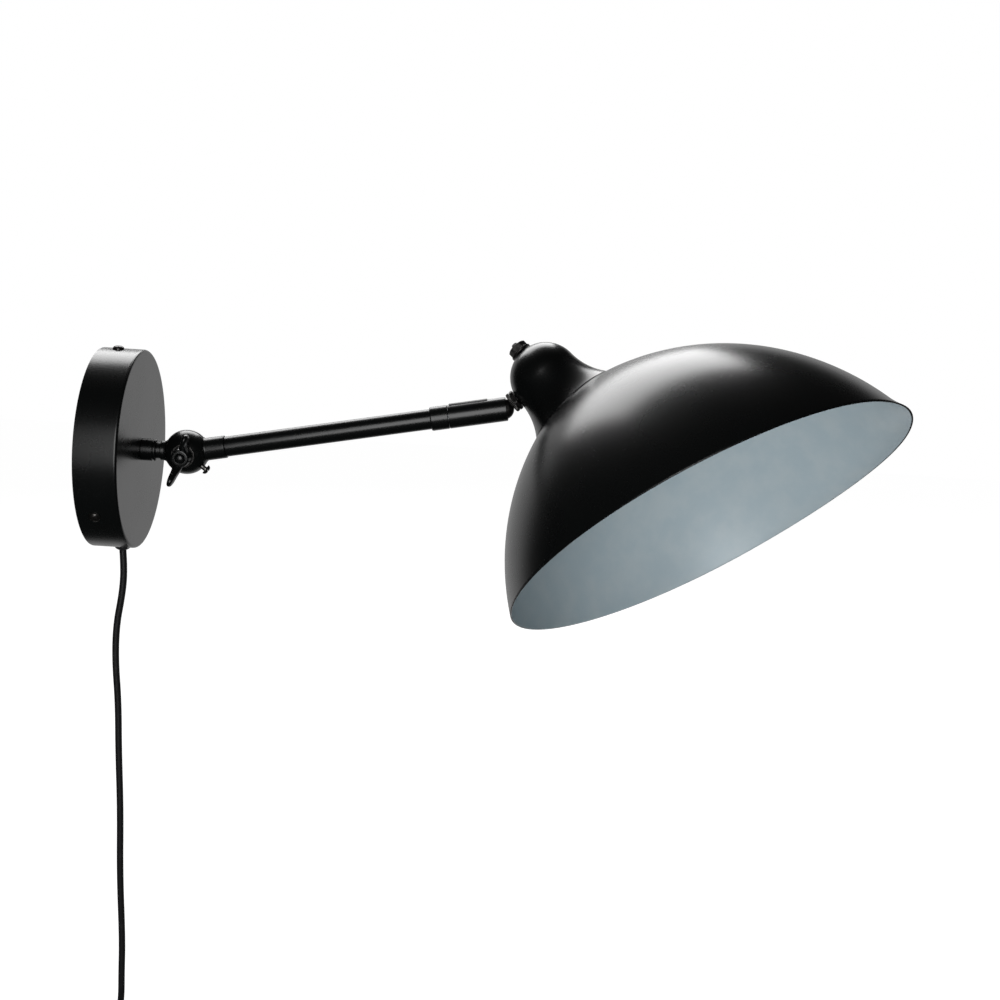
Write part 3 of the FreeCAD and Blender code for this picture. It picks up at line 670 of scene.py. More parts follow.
@dataclass(frozen=True)
class ZincPlate(Finish):
    """Bright zinc on pressed steel: cool grey with a fine crystal, dull blots and scratches."""

    colour: Colour = (0.55, 0.57, 0.60)
    dull: Colour = (0.36, 0.37, 0.38)
    gloss: float = 0.34

    def paint(self, on: Paint) -> None:
        """Crystals of 3 mm as cells, blots of 9 mm and scratches stretched along Z."""
        cells = on.number("ShaderNodeTexVoronoi", "Distance", {"feature": "F1"},
                          {"Vector": on.spot(), "Scale": 330.0})
        blots = on.speckle(9.0, 4.0, 0.6)
        stretched = on.node("ShaderNodeMapping", None,
                            {"Vector": on.spot(), "Scale": (9.0, 9.0, 0.5)})
        scratch = on.number("ShaderNodeTexNoise", 0, None,
                            {"Vector": stretched.outputs[0], "Scale": 260.0,
                             "Detail": 2.0}).ramp(0.62, 0.68)
        colour = on.blend(blots.ramp(0.3, 0.75) * 0.7, (*self.colour, 1), (*self.dull, 1))
        normal = on.relief(scratch, 0.003, on.relief(cells, 0.006))
        on.surface(Base_Color=colour, Metallic=1.0,
                   Roughness=self.gloss + blots * 0.12 + cells * 0.06 - scratch * 0.08,
                   Normal=normal)


@dataclass(frozen=True)
class NickelBrass(Finish):
    """Nickel on brass for the contacts: bright and smooth, with a warm cast and fine rings."""

    colour: Colour = (0.62, 0.57, 0.47)
    stained: Colour = (0.42, 0.35, 0.24)
    gloss: float = 0.22

    def paint(self, on: Paint) -> None:
        """Stains of 3 mm, rings 0.2 mm apart and scuffs of half a millimetre."""
        stains = on.speckle(3.0, 5.0, 0.6).ramp(0.48, 0.8)
        scuffs = on.speckle(0.5, 3.0, 0.7)
        colour = on.blend(stains * 0.55, (*self.colour, 1), (*self.stained, 1))
        normal = on.relief(scuffs, 0.0015, on.relief(on.rings(0.2), 0.002))
        on.surface(Base_Color=colour, Metallic=1.0,
                   Roughness=self.gloss + stains * 0.12 + (scuffs - 0.5) * 0.08, Normal=normal)


@dataclass(frozen=True)
class Moulded(Finish):
    """Moulded plastic with the fine spark-worn grain of its mould and softly shining edges."""

    colour: Colour = (0.011, 0.011, 0.012)
    shade: Colour = (0.017, 0.017, 0.018)
    gloss: float = 0.42
    grain: float = 0.35

    def paint(self, on: Paint) -> None:
        """Grain of a third of a millimetre, clouds of 8 mm and smoother edges."""
        grain = on.speckle(self.grain, 3.0, 0.6)
        clouds = on.speckle(8.0, 3.0, 0.6)
        colour = on.blend(clouds.ramp(0.3, 0.7), (*self.colour, 1), (*self.shade, 1))
        on.surface(Base_Color=colour,
                   Roughness=self.gloss + (grain - 0.5) * 0.14 - on.mark("edge") * 0.10,
                   IOR=1.49, Normal=on.relief(grain, 0.006))


@dataclass(frozen=True)
class Sheath(Finish):
    """The lead's soft black sheath: drawn lengthways, slightly waxy, with handling marks."""

    colour: Colour = (0.0075, 0.0075, 0.008)
    scuffed: Colour = (0.020, 0.020, 0.021)

    def paint(self, on: Paint) -> None:
        """Draw lines stretched along Z, a skin of 0.6 mm and scuffs of 6 mm."""
        drawn = on.node("ShaderNodeMapping", None, {"Vector": on.spot(), "Scale": (1.0, 1.0, 0.04)})
        lines = on.number("ShaderNodeTexNoise", 0, None,
                          {"Vector": drawn.outputs[0], "Scale": 1700.0, "Detail": 2.0})
        skin = on.speckle(0.6, 2.0, 0.5)
        scuffs = on.speckle(6.0, 4.0, 0.7).ramp(0.55, 0.75)
        colour = on.blend(scuffs * 0.5, (*self.colour, 1), (*self.scuffed, 1))
        normal = on.relief(lines, 0.006, on.relief(skin, 0.004))
        on.surface(Base_Color=colour, Roughness=0.40 + scuffs * 0.12 + (lines - 0.5) * 0.08,
                   IOR=1.5, Normal=normal)


@dataclass
class Finishes:
    """Every material of the lamp, made once."""

    black: bpy.types.Material
    enamel: bpy.types.Material
    steel: bpy.types.Material
    zinc: bpy.types.Material
    brass: bpy.types.Material
    black_plastic: bpy.types.Material
    white_plastic: bpy.types.Material
    sheath: bpy.types.Material

    def usual(self, slot: str) -> bpy.types.Material:
        """The material that most pieces of a slot take."""
        return {"black_paint": self.black, "blackened_steel": self.steel,
                "black_plastic": self.black_plastic, "nickel_brass": self.brass}[slot]

    @staticmethod
    def make() -> "Finishes":
        """Build the materials."""
        return Finishes(
            SatinPaint("satin_black_paint").material(), InnerEnamel("pale_inner_enamel").material(),
            DarkSteel("blackened_steel").material(), ZincPlate("zinc_plated_steel").material(),
            NickelBrass("nickel_on_brass").material(), Moulded("black_moulded_plastic").material(),
            Moulded("white_moulded_plastic", (0.70, 0.70, 0.68), (0.66, 0.66, 0.63),
                    0.38).material(),
            Sheath("lead_sheath").material())


# ------------------------------------------------------------------ pieces

@dataclass
class Maker:
    """A sub-assembly: turns surfaces into pieces that ride on the lamp's bodies."""

    finishes: Finishes

    def build(self) -> None:
        """Make the sub-assembly's pieces and dress its CAD nodes."""
        raise NotImplementedError

    def piece(self, name: str, surface: Surface, body: str, slot: str, replaces: Sequence[str] = (),
              finishes: Sequence[bpy.types.Material] = (), sharp: float = 38.0,
              bevel: float = 0.0) -> bpy.types.Object:
        """Write a surface to a mesh, dress it and hang it on its body.

        Args:
            name: the piece's name.
            surface: its surface, in millimetres.
            body: the body it rides on.
            slot: the record's material slot.
            replaces: the CAD nodes that it stands for.
            finishes: its materials, by the surface's finish numbers; none means the slot's usual.
            sharp: edges that turn by more degrees than this stay sharp.
            bevel: width of a bevel on those edges, in millimetres.

        Returns:
            The object.
        """
        mesh = bpy.data.meshes.new(name)
        mesh.from_pydata((surface.points * MM).tolist(), [], surface.faces.tolist())
        mesh.polygons.foreach_set("material_index", surface.finish.astype(np.int32))
        mesh.attributes.new("along", "FLOAT", "POINT").data.foreach_set(
            "value", surface.marks.astype(np.float32))
        shape = bmesh.new()
        shape.from_mesh(mesh)
        bmesh.ops.remove_doubles(shape, verts=shape.verts, dist=MERGE)
        bmesh.ops.dissolve_degenerate(shape, dist=SLIVER, edges=shape.edges)
        bmesh.ops.recalc_face_normals(shape, faces=shape.faces)
        shape.to_mesh(mesh)
        shape.free()
        for material in finishes or [self.finishes.usual(slot)]:
            mesh.materials.append(material)
        mesh.polygons.foreach_set("use_smooth", np.ones(len(mesh.polygons), bool))
        mesh.set_sharp_from_angle(angle=math.radians(sharp))
        self.mark_edges(mesh)
        item = put(name, mesh)
        if bevel:
            soften = item.modifiers.new("soft_edges", "BEVEL")
            soften.width, soften.segments, soften.limit_method = bevel * MM, 2, "ANGLE"
            soften.angle_limit, soften.harden_normals = math.radians(sharp), True
        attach(item, body)
        if replaces:
            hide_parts(*replaces)
        log.info("%s: %d faces on %s", name, len(mesh.polygons), body)
        return item

    @staticmethod
    def mark_edges(mesh: bpy.types.Mesh) -> None:
        """Store on each point how much the surface bends there, for wear.

        Formula: one less the smallest cosine between the point's normal and those of its faces,
        scaled to reach 1 on a tight round.

        Args:
            mesh: the mesh to mark.
        """
        corners, faces = len(mesh.loops), len(mesh.polygons)
        point, total = np.zeros(corners, np.int32), np.zeros(faces, np.int32)
        flat, smooth = np.zeros(faces * 3, np.float32), np.zeros(len(mesh.vertices) * 3, np.float32)
        mesh.loops.foreach_get("vertex_index", point)
        mesh.polygons.foreach_get("loop_total", total)
        mesh.polygon_normals.foreach_get("vector", flat)
        mesh.vertex_normals.foreach_get("vector", smooth)
        face = np.repeat(np.arange(faces), total)
        bend = 1 - (smooth.reshape(-1, 3)[point] * flat.reshape(-1, 3)[face]).sum(1)
        smooth_bend, full_span = 0.004, 0.03
        worn = np.zeros(len(mesh.vertices), np.float32)
        np.maximum.at(worn, point,
                      np.clip((bend - smooth_bend) / full_span, 0, 1).astype(np.float32))
        mesh.attributes.new("edge", "FLOAT", "POINT").data.foreach_set("value", worn)

    def dress(self, material: bpy.types.Material, *nodes: str) -> None:
        """Give CAD nodes that stay in view their finish."""
        for name in nodes:
            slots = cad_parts[name].data.materials
            slots.clear()
            slots.append(material)
            log.info("%s: dressed", name)


# ------------------------------------------------------------------ studio

@dataclass(frozen=True)
class SoftBox:
    """A rectangular light that faces a point, and may leave out matt or glossy surfaces."""

    name: str
    azimuth: float
    elevation: float
    away: float
    width: float
    height: float
    radiance: float
    matt: bool = True
    gloss: bool = True

    def build(self, target: Array) -> None:
        """Put the light up.

        Formula: its power is its radiance times pi times its area. It stands off the point by its
        azimuth and elevation, and its own Z looks back along that line.

        Args:
            target: the point that it faces, in millimetres.
        """
        light = bpy.data.lights.new(self.name, "AREA")
        light.shape, light.size, light.size_y = "RECTANGLE", self.width, self.height
        light.energy = self.radiance * math.pi * self.width * self.height
        item = put(self.name, light)
        a, e = math.radians(self.azimuth), math.radians(self.elevation)
        out = np.array([math.cos(a) * math.cos(e), math.sin(a) * math.cos(e), math.sin(e)])
        right = np.cross([0, 0, 1], out)
        right /= np.linalg.norm(right)
        up = np.cross(out, right)
        at = target * MM + out * self.away
        item.matrix_world = standing(right, up, out, at)
        item.visible_camera = False
        item.visible_diffuse, item.visible_glossy = self.matt, self.gloss


@dataclass
class Studio:
    """Camera, floor, lights and surroundings."""

    target: tuple[float, float, float] = (242.97, 0.0, -17.84)
    azimuth: float = -0.72
    elevation: float = 13.63
    roll: float = 3.72
    away: float = 854.63
    lens: float = 50.4
    sensor: float = 36.0
    floor_level: float = -600.0
    floor_size: float = 6000.0
    backdrop: float = 0.55
    backdrop_bearing: float = 97.0
    dimness: float = 0.016
    fill: float = 0.14

    def build(self) -> None:
        """Make everything that isn't the lamp."""
        self.view()
        self.floor()
        self.surroundings()
        for box in (SoftBox("key_box", 108, 37, 1.6, 1.40, 0.90, 5.4),
                    SoftBox("front_box", -92, 12, 1.7, 0.95, 1.20, 4.4, matt=False),
                    SoftBox("low_fill", -98, -15, 1.15, 1.0, 0.55, 6.2, gloss=False)):
            box.build(np.array([260.0, 0.0, 20.0]))
        bpy.context.scene.view_settings.view_transform = "Standard"

    def view(self) -> None:
        """The camera, by its aim, its two angles, its roll and how far away it stands."""
        a, e, r = (math.radians(v) for v in (self.azimuth, self.elevation, self.roll))
        back = np.array([math.sin(a) * math.cos(e), -math.cos(a) * math.cos(e), math.sin(e)])
        right = np.array([math.cos(a), math.sin(a), 0.0])
        up = np.cross(back, right)
        turned_right = math.cos(r) * right + math.sin(r) * up
        turned_up = -math.sin(r) * right + math.cos(r) * up
        at = (np.array(self.target) + back * self.away) * MM
        data = bpy.data.cameras.new("camera")
        data.lens, data.sensor_width, data.sensor_fit = self.lens, self.sensor, "HORIZONTAL"
        data.clip_start, data.clip_end = 0.05, 50.0
        item = put("camera", data)
        item.matrix_world = standing(turned_right, turned_up, back, at)
        bpy.context.scene.camera = item

    def floor(self) -> None:
        """A floor that shows white to the camera, matt grey to the lamp, and dark to gloss.

        Formula: a square grid of points at one level. Glossy rays also see the backdrop's sweep on
        it, where its bearing and its distance pass two soft limits.
        """
        side = (np.linspace(-0.5, 0.5, 9) * self.floor_size)
        x, y = np.meshgrid(side + self.target[0], side, indexing="ij")
        points = np.stack([x, y, np.full_like(x, self.floor_level)], -1)
        surface = Surface.grid(points)
        mesh = bpy.data.meshes.new("floor")
        mesh.from_pydata((surface.points * MM).tolist(), [], surface.faces[:, ::-1].tolist())
        material = bpy.data.materials.new("pale_floor")
        material.use_nodes = True
        on = Paint(material.node_tree)
        path = on.node("ShaderNodeLightPath").outputs
        seen, gloss = Wire(on, path["Is Camera Ray"]), Wire(on, path["Is Glossy Ray"])
        at = on.node("ShaderNodeSeparateXYZ", None, {0: on.spot()})
        x, y = Wire(on, at.outputs[0]) - self.target[0] * MM, Wire(on, at.outputs[1])
        level, aside = self.bearing(x, y)
        sweep = aside.ramp(0.62, 0.86) * level.ramp(0.25, 0.55) * self.backdrop
        tone = on.blend(gloss, (0.30, 0.30, 0.30, 1), (0.02, 0.02, 0.02, 1))
        matt = on.node("ShaderNodeBsdfDiffuse", None, {"Color": tone})
        strength = seen * 0.95 + gloss * sweep
        glow = on.node("ShaderNodeEmission", None, {"Color": (1, 1, 1, 1), "Strength": strength})
        both = on.node("ShaderNodeAddShader", None, {0: matt.outputs[0], 1: glow.outputs[0]})
        on.node("ShaderNodeOutputMaterial", None, {"Surface": both.outputs[0]})
        mesh.materials.append(material)
        item = put("floor", mesh)

    def bearing(self, x: Wire, y: Wire) -> tuple[Wire, Wire]:
        """How far out a place is, and the cosine between its bearing and the backdrop's."""
        level = (x * x + y * y + 0.0001) ** 0.5
        middle = math.radians(self.backdrop_bearing)
        return level, (x * math.cos(middle) + y * math.sin(middle)) / level

    def surroundings(self) -> None:
        """White to the camera; a pale backdrop behind the lamp and a dim room elsewhere to gloss.

        Formula: the backdrop is where the direction's bearing lies within about 40 degrees of its
        middle and its height below a third, with soft sides. Matt surfaces get one even grey.
        """
        world = bpy.data.worlds.new("surroundings")
        bpy.context.scene.world = world
        world.use_nodes = True
        on = Paint(world.node_tree)
        path = on.node("ShaderNodeLightPath").outputs
        seen = Wire(on, path["Is Camera Ray"])
        shiny = Wire(on, path["Is Glossy Ray"]) + Wire(on, path["Is Transmission Ray"])
        gloss = shiny.ramp(0.0, 1.0)
        way = on.node("ShaderNodeSeparateXYZ", None,
                      {0: on.node("ShaderNodeTexCoord").outputs["Generated"]})
        x, y, z = (Wire(on, way.outputs[k]) for k in range(3))
        aside = self.bearing(x, y)[1]
        mirror = aside.ramp(0.66, 0.86) * z.ramp(0.40, 0.20) * self.backdrop + self.dimness
        strength = seen + (1 - seen) * (gloss * mirror + (1 - gloss) * self.fill)
        glow = on.node("ShaderNodeBackground", None, {"Color": (1, 1, 1, 1), "Strength": strength})
        on.node("ShaderNodeOutputWorld", None, {"Surface": glow.outputs[0]})


# ------------------------------------------------------------------ lead and plug

Route = tuple[tuple[float, float, float], ...]


@dataclass
class Lead(Maker):
    """The lead from the canopy's gland to the plug, its wound length, the strap and the plug."""

    diameter: float = 4.3
    length: float = 1800.0
    hanging: Route = (
        (13.0, 0.0, -63.55), (13.9, 0.1, -77.0), (12.6, 0.0, -93.0), (9.0, -0.3, -113.0),
        (8.2, 0.2, -137.0), (9.9, 0.8, -165.0), (10.2, 0.2, -198.0), (11.6, -0.8, -238.0),
        (11.0, -0.2, -284.0), (12.4, 0.6, -332.0), (12.0, 0.0, -358.0))
    landing: Route = ((11.9, 0.3, -370.0), (10.6, 3.6, -380.5), (8.2, 10.2, -388.6))
    leaving: Route = ((18.2, 9.6, -445.6), (14.2, 2.4, -452.2), (12.0, 0.0, -459.5),
                      (12.0, 0.0, -466.0))
    coil_centre: tuple[float, float, float] = (12.0, 0.0, -416.0)
    coil_middle: float = 24.3
    lane: float = 4.4
    turns_per_layer: float = 2.32
    layers: int = 4
    points_per_turn: int = 16
    coil_from: float = 40.0
    plug_top: float = -471.0
    plug_size: tuple[float, float, float] = (13.0, 34.0, 31.0)
    pin_spread: float = 9.3

    def coil(self) -> Array:
        """The wound turns, as control points of the lead's own spline.

        Formula: turned by t turns in all, a point stands at the coil's bearing, t turns on from the
        first. Its radius goes in and out by one lane a turn, as a triangle wave whose half period
        is one layer, and its place along X moves by one lane as each layer ends. The radius is made
        larger by the cosine of half a step, which a spline of order 3 cuts off.

        Returns:
            Points, n by 3, in millimetres.
        """
        total = self.turns_per_layer * self.layers
        t = np.arange(0.0, total, 1 / self.points_per_turn)
        layer = t / self.turns_per_layer
        wave = np.abs((layer % 2) - 1)
        span = self.lane * self.turns_per_layer
        radius = (self.coil_middle + span * (wave - 0.5)) / math.cos(math.pi / self.points_per_turn)
        ends = np.arange(1, self.layers) * self.turns_per_layer
        moved = np.clip((t[:, None] - ends[None]) / 0.8 + 0.5, 0, 1)
        moved = (moved * moved * (3 - 2 * moved)).sum(1)
        along = self.coil_centre[0] + self.lane * (moved - (self.layers - 1) / 2)
        loose = 0.25 * np.sin(2 * math.pi * t * 0.37 + 0.6)
        bearing = np.radians(self.coil_from) + 2 * math.pi * t
        return np.stack([along + loose * 0.6, (radius + loose) * np.sin(bearing),
                         self.coil_centre[2] + (radius + loose) * np.cos(bearing)], 1)

    def build(self) -> None:
        route = np.concatenate([np.array(self.hanging), np.array(self.landing), self.coil(),
                                np.array(self.leaving)]) * MM
        data = bpy.data.curves.new("lead", "CURVE")
        data.dimensions, data.resolution_u = "3D", 8
        data.bevel_depth, data.bevel_resolution = self.diameter / 2 * MM, 6
        data.use_fill_caps = True
        spline = data.splines.new("NURBS")
        spline.points.add(len(route) - 1)
        spline.points.foreach_set("co", np.column_stack([route, np.ones(len(route))]).ravel())
        spline.order_u = 3
        spline.use_endpoint_u = True
        data.materials.append(self.finishes.sheath)
        lead = put("lead", data)
        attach(lead, "wall_unit")
        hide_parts("lead_hanging", "lead_coil", "lead_tail")
        log.info("lead: %d points", len(route))
        going = [self.strap(), self.relief(), self.plug(), *self.pins()]

    def strap(self) -> bpy.types.Object:
        """The strap round the coil's side: a flat band round a rounded square, with its catch.

        Formula: a superellipse of power 4 about the bundle's middle, carried round, with the band's
        thickness outwards and its width along Z.
        """
        t = round_turn(72)
        soft = softened(t, 0.5)
        section = rounded([(0.0, -2.4, 0.35), (1.1, -2.4, 0.35), (1.1, 2.4, 0.35),
                           (0.0, 2.4, 0.35)], 3)
        half = (9.0, 7.5)
        ring = np.stack([
            self.coil_centre[0] + (half[0] + section[:, :1]) * soft[0],
            self.coil_middle + (half[1] + section[:, :1]) * soft[1],
            np.broadcast_to(self.coil_centre[2] + section[:, 1:2], (len(section), len(t)))], -1)
        band = Surface.grid(ring, rows=True, columns=True)
        x, y, z = self.coil_centre[0], self.coil_middle, self.coil_centre[2]
        catch = rounded_block((x - 3.4, y + 8.0, z - 3.2), (x + 3.4, y + 11.6, z + 3.2), 0.9)
        tail = rounded_block((x - 9.5, y + 9.2, z - 1.7), (x - 3.0, y + 10.3, z + 1.7), 0.5)
        return self.piece("lead_strap", band + catch + tail, "wall_unit", "black_plastic",
                          ["lead_tie"])

    def relief(self) -> bpy.types.Object:
        """The plug's tapered strain relief, grooved across so that it bends.

        Formula: the taper's radius less a groove wave every 2.4 mm, deeper towards the lead.
        """
        z = np.linspace(0.0, 20.0, 101)
        share = z / 20.0
        groove = np.clip(np.cos(2 * math.pi * z / 2.4) * 1.6 - 0.6, 0, 1) * (0.15 + 0.45 * share)
        groove = np.where((z > 1.5) & (z < 18.6), groove, 0)
        across = 4.3 - 1.7 * share ** 0.8 - groove
        profile = np.concatenate([[[0, 0]], np.stack([across, z], 1), [[2.2, 20.3], [0, 20.3]]])
        place = Place(np.array([self.coil_centre[0], 0.0, self.plug_top - 1.0]), np.eye(3))
        return self.piece("plug_bend_relief", lathe(profile, 48, closed=False).at(place),
                          "wall_unit", "black_plastic", ["plug_relief"])

    def plug(self) -> bpy.types.Object:
        """The plug's body: narrow at the lead, waisted for the fingers, flat at its face.

        Formula: at height share s the section is a superellipse of power 4 whose half width is
        interpolated over s and whose half depth has a shallow waist; grip ribs are waves on the
        broad sides in the waist.
        """
        depth, width, height = self.plug_size
        s = np.concatenate([[0.0, 0.0], np.linspace(0.004, 0.996, 90), [1.0, 1.0]])
        wide = np.interp(s, [0.0, 0.03, 0.10, 0.30, 0.62, 0.97, 1.0],
                         [6.6, 7.6, 8.6, 11.6, 16.4, 17.0, 16.5])
        deep = np.interp(s, [0.0, 0.03, 0.15, 0.45, 0.75, 0.97, 1.0],
                         [4.6, 5.4, 5.9, 5.6, 6.3, 6.5, 6.1])
        kernel = np.ones(7) / 7
        wide[5:-5], deep[5:-5] = (np.convolve(v, kernel, "same")[5:-5] for v in (wide, deep))
        wide[[0, -1]] = deep[[0, -1]] = 0.0
        t = round_turn(96)
        soft_x, soft_y = softened(t, 0.55)
        waist = (s > 0.26) & (s < 0.60)
        grip = np.clip(np.cos(2 * math.pi * s * height / 2.5) * 1.4, 0, 1) * waist
        flank = np.clip(np.abs(np.cos(t)) * 4 - 2.6, 0, 1)
        points = np.stack([
            soft_x * (deep[:, None] + 0.35 * grip[:, None] * flank) + self.coil_centre[0],
            soft_y * wide[:, None],
            np.broadcast_to((self.plug_top - 0.02 - s * height)[:, None], (len(s), len(t)))], -1)
        return self.piece("plug_moulding", Surface.grid(points, columns=True), "wall_unit",
                          "black_plastic", ["plug_body"], sharp=50)

    def pins(self) -> list[bpy.types.Object]:
        """The two round pins: a sleeved upper half, a step and a bare rounded tip."""
        made = []
        for number, side in enumerate((-1, 1), start=1):
            sleeve = rounded([(0, 0.0, 0), (2.0, 0.0, 0), (2.0, -10.0, 0.12), (1.85, -10.0, 0),
                              (0, -10.0, 0)],
                             4, closed=False)
            tip = np.concatenate([[[0, -9.9], [1.88, -9.9], [1.88, -17.6]],
                                  arc((0.88, -17.9), 1.0, 0, -90, 9), [[0, -18.9]]])
            place = Place(np.array([self.coil_centre[0], side * self.pin_spread,
                                    self.plug_top - 31.05]), np.eye(3))
            surface = (lathe(sleeve, 40, closed=False, finish=0)
                       + lathe(tip, 40, closed=False, finish=1)).at(place)
            made.append(self.piece("plug_round_pin_%d" % number, surface, "wall_unit",
                                   "nickel_brass", ["plug_pin_%d" % number],
                                   finishes=[self.finishes.black_plastic, self.finishes.brass]))
        return made


# ------------------------------------------------------------------ canopy

@dataclass
class Canopy(Maker):
    """The wall plate and its cup, the side screws and the lead's gland."""

    radius: float = 60.0
    depth: float = 25.0
    wall: float = 1.2
    edge: float = 1.5
    screw_depth: float = 10.5
    head: float = 3.4
    gland_depth: float = 13.0

    def build(self) -> None:
        """Dress the canopy's nodes and make its small pieces."""
        self.dress(self.finishes.zinc, "wall_plate", "lead_gland_nut")
        self.dress(self.finishes.white_plastic, "terminal_block")
        self.cover()
        self.screws()
        self.gland()

    def cover(self) -> None:
        """The canopy: a pressed cup with a rounded front edge and a hole for the stem."""
        inside = self.radius - self.wall
        profile = rounded([(5.3, 23.8, 0.1), (inside, 23.8, 0.9), (inside, 0.0, 0.1),
                           (self.radius, 0.0, 0.3), (self.radius, self.depth, self.edge),
                           (5.3, self.depth, 0.2)], 8)
        self.piece("canopy_cover", lathe(profile, 256).at(WALL), "wall_unit", "black_paint",
                   ["canopy"])

    def screws(self) -> None:
        """Three slotted pan heads round the canopy's side."""
        for number, angle in enumerate((0, 120, 240), start=1):
            place = Place(np.array([self.screw_depth, 0.0, 0.0]), turn(Axis.X, angle))
            screw = slotted_head(self.head, self.radius + 0.02, 1.98, 0.8, 0.9, 1.5, 54.0).at(
                place.inner((0, 0, 0), turn(Axis.Z, 25.0 * number)))
            self.piece("canopy_screw_%d" % number, screw, "wall_unit", "blackened_steel",
                       ["side_screw_%d" % number])

    def gland(self) -> None:
        """The lead's bushing: a round flange, a domed mouth and a rim round the lead."""
        profile = rounded([(0, -6.0, 0), (4.1, -6.0, 0.2), (4.1, 0.05, 0), (5.2, 0.05, 0.12),
                           (5.2, 1.3, 0.3), (4.4, 2.7, 0.8), (3.3, 3.5, 0.35), (2.5, 3.5, 0.2),
                           (2.35, 2.6, 0), (0, 2.6, 0)],
                          5, closed=False)
        down = Place(np.array([self.gland_depth, 0.0, -self.radius]), turn(Axis.X, 180))
        self.piece("lead_bushing", lathe(profile, 64, closed=False).at(down), "wall_unit",
                   "black_plastic", ["lead_gland"])


# ------------------------------------------------------------------ stem and hinge

